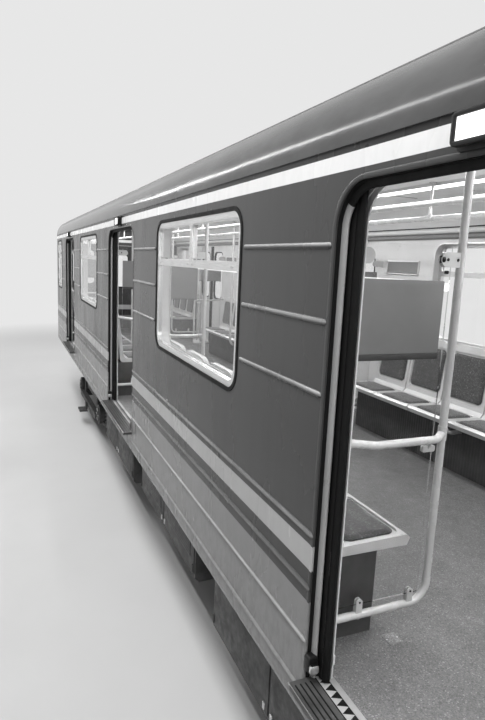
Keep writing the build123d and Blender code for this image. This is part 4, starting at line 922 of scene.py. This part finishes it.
def build_rib_tips():
    form = rib_tip()
    for side, way in SIDES:
        tips = Piece(f"rib_tips_{side}", "car_body", "body_panel", (PAINT,), on_side(way))
        for x, z, out in rib_ends():
            tips.add(form.copy(), 0, Matrix.Translation((x, HALF_W, z)) @ Matrix.Diagonal((out, 1, 1, 1)))
        tips.done()
    form.free()


# Window fittings: the catch plate and catch as (half width, Y, Y, low, high) from the bar's middle,
# the vent frames and the inner sill frame by their Y spans, and the rubbers at the ends
BAR_MIDDLE = (BAR_Z[0] + BAR_Z[1]) / 2
CATCH_OFF = 0.045
CATCH_END = 0.130
CATCH_PLATE = (0.017, 1.346, 1.352, -0.006, 0.006)
VENT_CATCH = (0.024, 1.300, 1.311, 0.004, 0.034)
VENT_SPAN = (0.056, 0.022)
VENT_FRAME_Y = (1.3335, 1.3400)
VENT_HEAD = 0.055
SILL_FRAME_Y = (1.2405, LINING + SUNK)
SILL_IN = 0.020
END_WINDOW_Y = 0.8
END_WINDOW_HALF = 0.255
END_WINDOW_Z = (RAIL + 2.180, RAIL + 2.950)


def build_window_fittings():
    """Vent catches, glazing frames and sill frames on the side windows, and the rubbers at the ends."""
    fittings = Piece("window_fittings", "car_body", "window_rubber", (RUBBER, ZINC, ALUMINIUM))
    low, high = WINDOW_Z
    outer, inner = VENT_SPAN
    for _, way in SIDES:
        fittings.place = on_side(way)
        for x0, x1 in WINDOWS:
            mid = (x0 + x1) / 2
            for x in (mid - CATCH_OFF, mid + CATCH_OFF, x1 - CATCH_END, x0 + CATCH_END):
                fittings.add(slab(*corners(CATCH_PLATE, x, 0.0, BAR_MIDDLE), 1, 0.005, 0.001), 1)
                fittings.add(slab(*corners(VENT_CATCH, x, 0.0, BAR_MIDDLE), 1, 0.010, 0.002))
            for a, b in ((x0 + outer, mid - inner), (mid + inner, x1 - outer)):
                spans = (a - SUNK, b + SUNK), VENT_FRAME_Y, (BAR_Z[1] - SUNK, high - VENT_HEAD)
                fittings.add(ring(*zip(*spans), 1, 0.030, 0.009, 0.001), 2)
            spans = (x0 + SILL_IN, x1 - SILL_IN), SILL_FRAME_Y, (low + SILL_IN, high - SILL_IN)
            fittings.add(ring(*zip(*spans), 1, 0.110, 0.014, 0.0015), 2)
    fittings.done()
    for end, way in ENDS:
        rubbers = Piece(f"end_window_rubbers_{end}", "car_body", "window_rubber", (RUBBER,), at_end(way))
        for y in (-END_WINDOW_Y, END_WINDOW_Y):
            spans = (BODY_HALF - 0.003, BODY_HALF + 0.005), about(y, END_WINDOW_HALF), END_WINDOW_Z
            rubbers.add(ring(*zip(*spans), 0, 0.098, 0.032, 0.003))
        rubbers.done()


# Blank panels on a screen as (near, far, low, high, corner, eased edge, material); near and far
# count from the screen's middle towards its doorway
SCREEN_NOTICE_Y = (0.777, 1.178)
SCREEN_NOTICES = (
    (0.0042, 0.0062, RAIL + 2.475, RAIL + 2.765, 0.006, 0.0004, 0),
    (0.0042, 0.0070, RAIL + 2.449, RAIL + 2.474, 0.0, 0.0006, 1),
    (-0.0062, -0.0042, RAIL + 2.455, RAIL + 2.765, 0.006, 0.0004, 0),
)

# The screen's clamp block and its stud, the nub of the upper clip, and the lug screws as (Y, Z, radius)
CLAMP_X = (-0.008, 0.012)
CLAMP_Y = (0.741, 0.806)
CLAMP_Z = (RAIL + 2.050, RAIL + 2.078)
STUD_Y = 0.775
STUD = ((0.004, RAIL + 2.060), (0.024, RAIL + 2.098))
NUB_Y = (0.788, 0.805)
NUB_R = 0.0155
LUG_FACE = 0.0108
LUG_Z = RAIL + 1.413
LUG_SCREWS = ((0.725, CLIP_Z, 0.0065), (0.776, CLIP_Z, 0.0065), (1.196, CLIP_Z, 0.0065),
              (0.794, LUG_Z, 0.005), (1.058, LUG_Z, 0.005))

# The small floor hatches beside the screens
HATCH_X = (-0.023, 0.048)
HATCH_Y = (0.834, 0.905)
HATCH_PROUD = 0.0015
HATCH_SCREWS = (0.842, 0.897)


def partitions():
    """Each partition as its X and the direction of its doorway."""
    return [(x + s * (DOOR_HALF + PARTITION_OFF), -s) for x in DOOR_X for s in (-1, 1)]


def build_partitions():
    """Blank notice panels on the screens, their clamps, lug screws and the small floor hatches."""
    panels = Piece("screen_notices", "car_body", "inner_panel", (NOTICE, NOTICE_FOOT))
    clamps = Piece("screen_clamps", "car_body", "rail_tube", (TUBE, LAMP_CASE))
    hatches = Piece("floor_hatches", "car_body", "floor_covering", (FLOOR_PLATE, ZINC))
    for _, way in SIDES:
        panels.place = clamps.place = hatches.place = on_side(way)
        for x, out in partitions():
            for near, far, low, high, corner, edge, mat in SCREEN_NOTICES:
                lo, hi = zip(reach_from(x, out, (near, far)), SCREEN_NOTICE_Y, (low, high))
                panels.add(slab(lo, hi, 0, corner, edge) if corner else block(lo, hi, edge), mat)
            clamps.add(slab(*zip(reach_from(x, out, CLAMP_X), CLAMP_Y, CLAMP_Z), 0, 0.008, 0.002))
            foot, tip = [(x + out * far, STUD_Y, z) for far, z in STUD]
            clamps.add(rod(foot, tip, 0.006))
            clamps.add(rod((x, NUB_Y[0], CLIP_Z), (x, NUB_Y[1], CLIP_Z), NUB_R, 16, 0.004), 1)
            for y, z, radius in LUG_SCREWS:
                clamps.add(disc((x + out * LUG_FACE, y, z), (out, 0, 0), radius, 0.003, 0.001, 12), 1)
            spans = reach_from(x, out, HATCH_X), HATCH_Y, (FLOOR - SUNK, FLOOR + HATCH_PROUD)
            hatches.add(slab(*zip(*spans), 2, 0.004, 0.0005))
            for y in HATCH_SCREWS:
                hatches.add(disc((sum(spans[0]) / 2, y, FLOOR + SUNK), (0, 0, 1), 0.004, 0.001, sides=10), 1)
    for piece in (panels, clamps, hatches):
        piece.done()


# Notice frames on the linings
WALL_NOTICE_Z = (RAIL + 2.750, RAIL + 2.890)
WALL_NOTICE_HALF = 0.245
WALL_NOTICE_RIM = 0.008


def build_notices():
    """Empty notice frames on the linings between the windows and the doorways."""
    frames = Piece("wall_notices", "car_body", "inner_panel", (ALUMINIUM, NOTICE))
    low, high = WALL_NOTICE_Z
    back, rim = LINING + SUNK, WALL_NOTICE_RIM
    for _, way in SIDES:
        frames.place = on_side(way)
        for (w0, w1), (a, b) in zip(WINDOWS[1:4], zip(DOOR_X[:3], DOOR_X[1:])):
            for x in ((a + DOOR_HALF + w0) / 2, (b - DOOR_HALF + w1) / 2):
                spans = about(x, WALL_NOTICE_HALF), (LINING - 0.010, back), (low, high)
                frames.add(ring(*zip(*spans), 1, 0.010, 0.012, 0.002))
                spans = about(x, WALL_NOTICE_HALF - rim), (LINING - 0.005, back), (low + rim, high - rim)
                frames.add(slab(*zip(*spans), 1, 0.006), 1)
    frames.done()


# Ceiling: lights, panel joints, grilles as (half length, half width), slots painted black as the shade in the
# grille's openings, and along both sides the moulding and a thin black rod above it painted as its shadow
# line, as (Y, Z, radius)
LIGHT_Y = 0.395
LIGHT_HALF = 0.065
LIGHT_SHORT = 0.26
LIGHT_RIM = 0.006
PANEL_PITCH = 1.533
PANEL_SHIFT = 0.576
JOINT_HALF = 0.006
GRILLE = (0.300, 0.120)
SLOTS = 9
SLOT_PITCH = 0.022
SLOT = (0.270, 0.003)
MOULDING = (1.221, 3.187, 0.023)
MOULDING_SHADE = (1.200, 3.214, 0.005)


def panel_places(shift, margin):
    """X of the joints between ceiling panels, moved by shift, that stay clear of the ends by margin."""
    reach = BODY_HALF - END_CAP
    count = int(reach / PANEL_PITCH)
    places = [i * PANEL_PITCH + PANEL_SHIFT + shift for i in range(-count, count + 1)]
    return [x for x in places if abs(x) <= reach - margin]


def under_ceiling(x, half_x, y, half_y, hang, edge, top=SUNK):
    """A strip that hangs below the ceiling by hang."""
    return block(*zip(about(x, half_x), about(y, half_y), (CEILING_Z - hang, CEILING_Z + top)), edge)


def build_ceiling():
    """Joints between ceiling panels, ventilation grilles with black slots painted as shade, mouldings with a
    black rod painted as their shadow line, and the light fittings' frames.
    """
    reach = BODY_HALF - END_CAP
    joints = Piece("ceiling_joints", "car_body", "inner_panel", (CORNICE, CEILING, RUBBER))
    for x in panel_places(0.0, 0.1):
        joints.add(under_ceiling(x, JOINT_HALF, 0.0, CEILING_FLAT, 0.0025, 0.001))
    half, wide = GRILLE
    for x in panel_places(PANEL_PITCH / 2, 0.4):
        spans = about(x, half), (-wide, wide), (CEILING_Z - 0.006, CEILING_Z + SUNK)
        joints.add(ring(*zip(*spans), 2, 0.020, 0.018, 0.002), 1)
        # Painted shade: black strips stand for the dark openings of the grille
        for k in range(SLOTS):
            y = (k - (SLOTS - 1) / 2) * SLOT_PITCH
            joints.add(under_ceiling(x, SLOT[0], y, SLOT[1], 0.004, 0.0008), 2)
    for way in (1, -1):
        joints.place = on_side(way)
        # The thin black rod over each moulding is a painted shadow line
        for (y, z, radius), sides, mat in ((MOULDING, 16, 1), (MOULDING_SHADE, 8, 2)):
            joints.add(rod((-reach, y, z), (reach, y, z), radius, sides), mat)
    joints.done()
    lights = Piece("light_frames", "car_body", "window_frame", (ALUMINIUM, CEILING))
    half = reach - LIGHT_SHORT
    for s in (-1, 1):
        y = s * LIGHT_Y
        for edge in (-1, 1):
            rim = y + edge * (LIGHT_HALF + LIGHT_RIM)
            lights.add(under_ceiling(0.0, half + 0.010, rim, LIGHT_RIM, 0.020, 0.002))
        for x in panel_places(0.0, 0.65):
            lights.add(under_ceiling(x, 0.020, y, LIGHT_HALF + 0.010, 0.0215, 0.002, -0.014), 1)
        for e in (-1, 1):
            lights.add(under_ceiling(e * (half + 0.008), 0.012, y, LIGHT_HALF + 0.012, 0.021, 0.002))
    lights.done()


# Seat pads: how they are blown up and thinned, and how they lie in their recesses
CLOTH_FRAMES = 20
CLOTH_PRESSURE = 4.0
PAD_CAP = 0.011
PAD_START_T = 0.010
PAD_VOXEL = 0.006
PAD_RATIO = 0.055
PAD_MARGIN = 0.004
PAD_RECESS = 0.012
PAD_CLEAR = 0.0015
PAD_SHORT = 0.002


def pad_blank(length):
    """A thin rounded blank in its own frame: X across the car seat, Y along its face, Z out of it."""
    corner = Vector((PAD_W / 2 - PAD_MARGIN, length / 2 - PAD_MARGIN, PAD_START_T / 2))
    bm = slab(-corner, corner, 2, PAD_CORNER, 0.003)
    mesh = bpy.data.meshes.new("pad_blank")
    bm.to_mesh(mesh)
    bm.free()
    return mesh


def with_modifiers(mesh, *modifiers, frames=0):
    """The mesh after its modifiers, as a new mesh; frames runs the cloth first."""
    obj = bpy.data.objects.new("pad_form", mesh)
    bpy.context.scene.collection.objects.link(obj)
    for kind, values in modifiers:
        mod = obj.modifiers.new(kind.lower(), kind)
        for key, value in values.items():
            setattr(mod, key, value)
        if kind == "CLOTH":
            mod.settings.use_pressure = True
            mod.settings.uniform_pressure_force = CLOTH_PRESSURE
            mod.settings.effector_weights.gravity = 0.0
            mod.point_cache.frame_start, mod.point_cache.frame_end = 1, frames
    for number in range(1, frames + 1):
        bpy.context.scene.frame_set(number)
    graph = bpy.context.evaluated_depsgraph_get()
    got = bpy.data.meshes.new_from_object(obj.evaluated_get(graph))
    bpy.data.objects.remove(obj)
    bpy.context.scene.frame_set(1)
    return got


def cushion(length):
    """One pad blown up by cloth pressure, flat where it lies in its shell, crowned above."""
    dense = with_modifiers(pad_blank(length), ("REMESH", {"mode": "VOXEL", "voxel_size": PAD_VOXEL}))
    start = [v.co.copy() for v in dense.vertices]
    swelled = with_modifiers(dense.copy(), ("CLOTH", {}), frames=CLOTH_FRAMES)
    for vert, before in zip(swelled.vertices, start):
        move = vert.co - before
        if move.length > PAD_CAP:
            move *= PAD_CAP / move.length
        moved = before + move
        moved.z = max(moved.z, -PAD_START_T / 2)
        vert.co = moved
    thin = with_modifiers(swelled, ("DECIMATE", {"ratio": PAD_RATIO}))
    bm = bmesh.new()
    bm.from_mesh(thin)
    for _ in range(2):
        bmesh.ops.smooth_vert(bm, verts=bm.verts, factor=0.4, use_axis_x=False, use_axis_y=False,
                              use_axis_z=True)
    return bm


def pad_place(face):
    """The matrix that lays a pad's own frame on one face of a seat at X = 0, and the pad's length."""
    (y0, z0), (y1, z1), start, stop = face
    length = math.hypot(y1 - y0, z1 - z0)
    uy, uz = (y1 - y0) / length, (z1 - z0) / length
    middle = (start + length - stop) / 2
    out = -PAD_RECESS + PAD_START_T / 2 + PAD_CLEAR
    centre = Vector((0, y0 + middle * uy - out * uz, z0 + middle * uz + out * uy))
    turn = Matrix(((1, 0, 0), (0, uy, -uz), (0, uz, uy))).to_4x4()
    return Matrix.Translation(centre) @ turn, length - start - stop


def build_pads():
    """The two upholstered pads of every seat, copied from one seat's pair."""
    forms = []
    for face in (SITTING, LEANING):
        place, length = pad_place(face)
        forms.append((place, cushion(length - PAD_SHORT)))
    for side, way in SIDES:
        pads = Piece(f"pads_{side}", "car_body", "seat_cloth", (CLOTH,), on_side(way))
        for x, count in SEAT_ROWS:
            for i in range(count):
                shift = Matrix.Translation((x + (i - (count - 1) / 2) * SEAT_PITCH, 0, 0))
                for place, form in forms:
                    pads.add(form.copy(), 0, shift @ place)
        obj = pads.done("seat_pads")
    for _, form in forms:
        form.free()


# Ends of the car: grab rails; the step, its brackets and the sockets as (places in Y, half width,
# reach, low, high); the end doors' window rubbers, lock plate and handle
END_BACK = BODY_HALF - 0.002
END_RAIL_X = BODY_HALF + 0.045
END_RAIL_Y = (-0.42, 0.42)
END_RAIL_Z = (FLOOR + 0.42, FLOOR + 1.42)
END_RAIL_FEET = (FLOOR + 0.50, FLOOR + 1.34)
END_STEP = ((0.0,), 0.33, 0.130, FLOOR - 0.034, FLOOR - 0.016)
END_BRACKETS = ((-0.27, 0.27), 0.008, 0.090, FLOOR - 0.130, FLOOR - 0.033)
END_SOCKETS = ((-0.95, 0.95), 0.10, 0.060, RAIL + 1.05, RAIL + 1.21)
SOCKET_HOLES = (-0.045, 0.045)
SOCKET_Z = RAIL + 1.13
END_DOOR_FACES = ((-0.003, 0.003), (-0.032, -0.027))
END_DOOR_RUBBER = (0.168, RAIL + 2.132, RAIL + 2.868)
LOCK_PLATE_Y = (0.225, 0.265)
LOCK_PLATE_Z = (FLOOR + 0.92, FLOOR + 1.12)
HANDLE_Z = FLOOR + 1.05
HANDLE_R = 0.009
HANDLE_BARS = (((0.002, 0.245), (0.045, 0.245), 0.0), ((0.042, 0.250), (0.042, 0.140), 0.003))


def end_parts(part):
    """The two corners of each copy of a part on an end wall."""
    places, half, out, low, high = part
    return [(y, zip((END_BACK, BODY_HALF + out), about(y, half), (low, high))) for y in places]


def end_fittings(end, way):
    """Grab rails, a step on brackets and sockets on one end wall."""
    rails = Piece(f"end_fittings_{end}", "car_body", "rail_tube",
                  (TUBE, STEP_STEEL, ZINC, RUBBER), at_end(way))
    for y in END_RAIL_Y:
        rails.add(rod(*[(END_RAIL_X, y, z) for z in END_RAIL_Z], 0.014, 14, 0.004))
        for z in END_RAIL_FEET:
            rails.add(rod((END_BACK, y, z), (END_RAIL_X, y, z), 0.011))
            rails.add(disc((BODY_HALF - SUNK, y, z), (1, 0, 0), 0.026, 0.006, 0.002), 2)
    for _, ends in end_parts(END_STEP):
        rails.add(slab(*ends, 2, 0.03, 0.003), 1)
    for _, ends in end_parts(END_BRACKETS):
        rails.add(block(*ends, 0.002), 1)
    for y, ends in end_parts(END_SOCKETS):
        rails.add(slab(*ends, 0, 0.02, 0.004), 1)
        for dy in SOCKET_HOLES:
            rails.add(disc((BODY_HALF + 0.058, y + dy, SOCKET_Z), (1, 0, 0), 0.034, 0.022, 0.004), 3)
    rails.done()


def end_door_trim(end, way):
    """Window rubbers on both faces of one end door, with its lock plate and handle."""
    trim = Piece(f"end_door_trim_{end}", f"end_door_{end}", "window_rubber", (RUBBER, ZINC), at_end(way))
    half, low, high = END_DOOR_RUBBER
    for a, b in END_DOOR_FACES:
        spans = (BODY_HALF + a, BODY_HALF + b), (-half, half), (low, high)
        trim.add(ring(*zip(*spans), 0, 0.086, 0.020, 0.001))
    spans = (BODY_HALF - SUNK, BODY_HALF + 0.004), LOCK_PLATE_Y, LOCK_PLATE_Z
    trim.add(slab(*zip(*spans), 0, 0.015, 0.001), 1)
    for *bar, edge in HANDLE_BARS:
        trim.add(rod(*[(BODY_HALF + x, y, HANDLE_Z) for x, y in bar], HANDLE_R, 12, edge), 1)
    trim.done()


def build_ends():
    for end, way in ENDS:
        end_fittings(end, way)
        end_door_trim(end, way)


# Weld seams over the roof: the crown's radius and height, how far a seam reaches down, its section
CROWN_R = 3.575
CROWN_Z = RAIL + 3.660
SEAM_REACH = 1.0
SEAM_STEPS = 12
SEAM_SECTION = ((-0.012, -0.002), (0.012, -0.002), (0.006, 0.004), (-0.006, 0.004))


def build_roof_details():
    """Weld seams over the roof."""
    seams = Piece("roof_seams", "car_body", "roof_panel", (ROOF,))
    centre = CROWN_Z - CROWN_R
    half = math.asin(SEAM_REACH / CROWN_R)
    y, z = -math.sin(half) * CROWN_R, centre + math.cos(half) * CROWN_R
    for i in range(-5, 6):
        x = i * PANEL_PITCH
        profile = [(x + dx, y, z + dz) for dx, dz in SEAM_SECTION]
        seams.add(drawn(profile, [("turn", (x, 0, centre), (-1, 0, 0), 2 * half, SEAM_STEPS, 0.0)]))
    seams.done()


# Bogie fittings: spring seats, bolts round the axle box caps, bolts and a plate on the side beams
SEAT_EXTRA = 0.014
SEAT_T = 0.010
CORE_R = 0.022
CAP_Y = 1.124
CAP_BOLTS = 6
CAP_BOLT_R = 0.083
BEAM_Y = 1.051
BEAM_BOLTS = (-0.5, -0.3, 0.3, 0.5)
BEAM_BOLT_Z = RAIL + 0.56
BEAM_PLATE = (0.16, 0.010, RAIL + 0.500, RAIL + 0.600)
COIL_SIDES = 8
COIL_STEPS = 16


def coil(x, y):
    """An open coil spring, its wire spun with a rise."""
    low, high = SPRING_Z[0] + SPRING_WIRE, SPRING_Z[1] - SPRING_WIRE
    profile = circle_points((x + SPRING_R, y, low), (0, 1, 0), SPRING_WIRE, COIL_SIDES)
    turn, steps = math.tau * SPRING_TURNS, COIL_STEPS * SPRING_TURNS
    return drawn(profile, [("turn", (x, y, low), (0, 0, 1), turn, steps, high - low)])


def add_spring(springs, x, y):
    """A coil between its two seats, with the guide inside it."""
    springs.add(coil(x, y))
    for z in (SPRING_Z[0], SPRING_Z[1] - SEAT_T):
        springs.add(disc((x, y, z), (0, 0, 1), SPRING_R + SEAT_EXTRA, SEAT_T, 0.002, 24), 1)
    springs.add(rod((x, y, SPRING_Z[0]), (x, y, SPRING_Z[1]), CORE_R, 14), 1)


def build_bogies():
    for end, way in ENDS:
        springs = Piece(f"coil_springs_{end}", f"bogie_{end}", "frame_steel", (SPRING_STEEL, FRAME_STEEL))
        fittings = Piece(f"bogie_fittings_{end}", f"bogie_{end}", "frame_steel", (FRAME_STEEL, ZINC))
        middle = way * BOGIE_X
        for s in (-1, 1):
            for side in (-1, 1):
                axle_x, cap = middle + s * AXLE_OFF, side * CAP_Y
                for d in (-1, 1):
                    add_spring(springs, axle_x + d * SPRING_X, side * SPRING_Y)
                for k in range(CAP_BOLTS):
                    a = math.tau * k / CAP_BOLTS
                    bolt = (axle_x + CAP_BOLT_R * math.cos(a), cap, AXLE_Z + CAP_BOLT_R * math.sin(a))
                    fittings.add(disc(bolt, (0, side, 0), 0.011, 0.009, 0.002, 6), 1)
                fittings.add(disc((axle_x, cap, AXLE_Z), (0, side, 0), 0.045, 0.008, 0.003, 20))
        half, thick, low, high = BEAM_PLATE
        for side in (-1, 1):
            for dx in BEAM_BOLTS:
                bolt = (middle + dx, side * BEAM_Y, BEAM_BOLT_Z)
                fittings.add(disc(bolt, (0, side, 0), 0.020, 0.012, 0.003, 6), 1)
            spans = about(middle, half), reach_from(0.0, side, (BEAM_Y, BEAM_Y + thick)), (low, high)
            fittings.add(slab(*zip(*spans), 1, 0.02, 0.003))
        springs.done(f"axle_springs_{end}")
        fittings.done()


# Equipment cases under the floor: their depths, the span that they share and the gaps between them,
# Y spans of doors, louvres and latches, and the pipes as (Y, radius, Z)
EQUIPMENT_DEPTHS = (0.560, 0.620, 0.520, 0.600)
EQUIPMENT_SPAN = 8.1
EQUIPMENT_GAP = 0.400
HANG_Z = RAIL + 1.012
COVER_Z = (0.050, -0.060)
COVER_X = (0.010, 0.025)
COVER_Y = (1.179, 1.188)
LOUVRE_Y = (1.187, 1.192)
LOUVRE_IN = (0.08, 0.10)
LATCH_Y = (1.187, 1.196)
LATCH_HALF = (0.012, 0.022)
LATCH_X = 0.045
LATCH_IN = 0.05
HINGE_Y = 1.191
HINGE_IN = 0.035
HINGE_HALF = 0.030
PIPE_SHORT = 2.25
PIPES = ((0.215, 0.017, 1.085), (-0.215, 0.017, 1.085), (0.262, 0.012, 1.092), (-0.262, 0.012, 1.092))


def case_cover(doors, x, s, length, z0, z1, louvred):
    """One access door of a case, on its side s, with latches, hinges and perhaps a louvred panel."""
    a, b = reach_from(x, s, (COVER_X[0], length / 2 - COVER_X[1]))
    doors.add(slab(*zip((a, b), COVER_Y, (z0, z1)), 1, 0.015, 0.003))
    if louvred:
        in_x, in_z = LOUVRE_IN
        doors.add(slab(*zip((a + in_x, b - in_x), LOUVRE_Y, (z0 + in_z, z1 - in_z)), 1, 0.010, 0.002), 2)
    half_x, half_z = LATCH_HALF
    latch, hinge = x + s * LATCH_X, x + s * (length / 2 - HINGE_IN)
    for z in (z0 + LATCH_IN, z1 - LATCH_IN):
        doors.add(slab(*zip(about(latch, half_x), LATCH_Y, about(z, half_z)), 1, 0.006, 0.002), 1)
        doors.add(rod(*[(hinge, HINGE_Y, end) for end in about(z, HINGE_HALF)], 0.007, 10, 0.002))


def build_underfloor():
    """Access doors, latches and louvres on the equipment cases, and pipes along the underframe."""
    doors = Piece("equipment_covers", "car_body", "frame_steel", (FRAME_STEEL, ZINC, LOUVRE))
    count = len(EQUIPMENT_DEPTHS)
    length = (EQUIPMENT_SPAN - (count - 1) * EQUIPMENT_GAP) / count
    for way in (1, -1):
        doors.place = at_end(way)
        for i, depth in enumerate(EQUIPMENT_DEPTHS):
            x = -EQUIPMENT_SPAN / 2 + length / 2 + i * (length + EQUIPMENT_GAP)
            for s in (-1, 1):
                case_cover(doors, x, s, length, HANG_Z - depth + COVER_Z[0], HANG_Z + COVER_Z[1], i % 2 == 0)
    doors.done()
    pipes = Piece("underframe_pipes", "car_body", "frame_steel", (FRAME_STEEL,))
    reach = BOGIE_X - PIPE_SHORT
    for y, radius, z in PIPES:
        pipes.add(rod((-reach, y, z), (reach, y, z), radius, 12, 0.003))
    pipes.done()


build_frame_nodes()
build_doorways()
build_leaf_trims()
build_lamps()
build_rib_tips()
build_window_fittings()
build_partitions()
build_notices()
build_ceiling()
build_pads()
build_ends()
build_roof_details()
build_bogies()
build_underfloor()


# Lamps as (name, place, (length, width), power, aim, mirrored); those of the saloon hang in rows
LAMPS = (
    ("platform_wash", (0.0, 2.6, 6.0), (24.0, 0.8), 640, (0.0, 1.35, 2.0), False),
    ("platform_strip", (0.0, 3.3, 5.4), (26.0, 0.10), 260, (0.0, 1.35, 2.6), True),
    ("soft_back", (0.0, -6.0, 6.5), (22.0, 4.0), 480, (0.0, -1.2, 1.6), True),
    ("soft_end", (15.0, 1.0, 5.0), (5.0, 4.0), 160, (9.0, 0.0, 2.0), False),
    ("soft_camera", (-15.0, 4.0, 4.0), (5.0, 4.0), 160, (-9.0, 0.0, 2.0), True),
)
SALOON_LIGHT = ((4.2, 0.12), 28)
SALOON_HANG = 0.03
SALOON_AIM = 1.0
BOUNCE_LIGHT = ((4.2, 1.4), 15)
BOUNCE_Z = (2.75, 5.0)


def area_light(name, place, size, power, aim, mirrored):
    data = bpy.data.lights.new(name, "AREA")
    data.shape = "RECTANGLE"
    data.size, data.size_y = size
    data.energy = power
    light = bpy.data.objects.new(name, data)
    light.visible_glossy = mirrored
    light.visible_camera = False
    direction = Vector(aim) - Vector(place)
    light.location = place
    light.rotation_euler = direction.to_track_quat("-Z", "Y").to_euler()
    bpy.context.scene.collection.objects.link(light)


def build_lights():
    """Lamps round the car, then the saloon's own lights and their bounce off the floor."""
    for row in LAMPS:
        area_light(*row)
    for x in DOOR_X:
        for y in (-LIGHT_Y, LIGHT_Y):
            place, aim = (x, y, CEILING_Z - SALOON_HANG), (x, y, SALOON_AIM)
            area_light(f"saloon_{x}_{y}", place, *SALOON_LIGHT, aim, True)
        place, aim = [(x, 0.0, z) for z in BOUNCE_Z]
        area_light(f"ceiling_{x}", place, *BOUNCE_LIGHT, aim, False)


# The studio: its tone, its ambient light, and how far out its floor stays before it fades
PALE = 0.80
AMBIENT = (0.75, 0.30)
FLOOR_NEAR = 4.6
FLOOR_FAR = 9.0
FLOOR_LONG = 0.42
FLOOR_SIZE = 90.0


def shown_rays(tree):
    """How much a ray is one that shows the surroundings: seen, mirrored or through glass."""
    path = tree.nodes.new("ShaderNodeLightPath")
    total = path.outputs["Is Camera Ray"]
    for name in ("Is Glossy Ray", "Is Transmission Ray"):
        node = tree.nodes.new("ShaderNodeMath")
        node.operation = "ADD"
        node.use_clamp = True
        tree.links.new(total, node.inputs[0])
        tree.links.new(path.outputs[name], node.inputs[1])
        total = node.outputs[0]
    return total


def build_world():
    """Pale surroundings that light the car less than they show."""
    world = bpy.data.worlds.new("studio")
    bpy.context.scene.world = world
    world.use_nodes = True
    tree = world.node_tree
    background = tree.nodes["Background"]
    background.inputs["Color"].default_value = grey(AMBIENT[0])
    background.inputs["Strength"].default_value = AMBIENT[1]
    pale = tree.nodes.new("ShaderNodeBackground")
    pale.inputs["Color"].default_value = grey(PALE)
    pale.inputs["Strength"].default_value = 1.0
    mixed = tree.nodes.new("ShaderNodeMixShader")
    tree.links.new(shown_rays(tree), mixed.inputs["Fac"])
    tree.links.new(background.outputs["Background"], mixed.inputs[1])
    tree.links.new(pale.outputs["Background"], mixed.inputs[2])
    tree.links.new(mixed.outputs["Shader"], tree.nodes["World Output"].inputs["Surface"])


def build_floor():
    """A pale floor that takes the shadow near the car and fades into the background far off."""
    bm = bmesh.new()
    bmesh.ops.create_grid(bm, x_segments=1, y_segments=1, size=FLOOR_SIZE)
    mesh = bpy.data.meshes.new("studio_floor")
    bm.to_mesh(mesh)
    bm.free()
    floor = bpy.data.objects.new("studio_floor", mesh)
    bpy.context.scene.collection.objects.link(floor)
    f = Finish("studio_floor", 0.60, 0.8)
    f.colour(f.drift(0.6, 4.0, (0.56, 0.60)))
    away = f.node("ShaderNodeVectorMath", operation="LENGTH")
    f.link(f.mapped((FLOOR_LONG, 1, 1)), away.inputs[0])
    fade = f.map_range(away.outputs["Value"], FLOOR_NEAR, FLOOR_FAR, 0.0, 1.0)
    both = f.node("ShaderNodeMath", operation="MULTIPLY")
    f.link(fade, both.inputs[0])
    f.link(shown_rays(f.tree), both.inputs[1])
    pale = f.node("ShaderNodeEmission")
    pale.inputs["Color"].default_value = grey(PALE)
    mixed = f.node("ShaderNodeMixShader")
    f.link(both.outputs[0], mixed.inputs["Fac"])
    f.link(f.bsdf.outputs["BSDF"], mixed.inputs[1])
    f.link(pale.outputs["Emission"], mixed.inputs[2])
    f.link(mixed.outputs["Shader"], f.tree.nodes["Material Output"].inputs["Surface"])
    mesh.materials.append(f.mat)


# The camera stands on the platform beside the open doorway, at the photo's viewing angle
CAMERA_PLACE = (-3.3607, 2.4052, 2.831)
CAMERA_YAW = 23.143
CAMERA_PITCH = 9.833
CAMERA_ROLL = 2.577
CAMERA_LENS = 28.11
SENSOR = 36.0


def build_camera():
    data = bpy.data.cameras.new("photo_camera")
    data.sensor_fit = "AUTO"
    data.sensor_width = SENSOR
    data.lens = CAMERA_LENS
    data.clip_start = 0.05
    data.clip_end = 200.0
    camera = bpy.data.objects.new("photo_camera", data)
    yaw, pitch, roll = (math.radians(a) for a in (CAMERA_YAW, CAMERA_PITCH, CAMERA_ROLL))
    ahead = Vector((math.cos(yaw), -math.sin(yaw), 0.0))
    side = Vector((-math.sin(yaw), -math.cos(yaw), 0.0))
    up = Vector((0.0, 0.0, 1.0))
    look = ahead * math.cos(pitch) - up * math.sin(pitch)
    tall = up * math.cos(pitch) + ahead * math.sin(pitch)
    right = side * math.cos(roll) + tall * math.sin(roll)
    tall = tall * math.cos(roll) - side * math.sin(roll)
    turn = Matrix((right, tall, -look)).transposed()
    camera.matrix_world = Matrix.Translation(CAMERA_PLACE) @ turn.to_4x4()
    bpy.context.scene.collection.objects.link(camera)
    bpy.context.scene.camera = camera


build_camera()
build_lights()
build_world()
build_floor()
bpy.context.scene.view_settings.view_transform = "Standard"
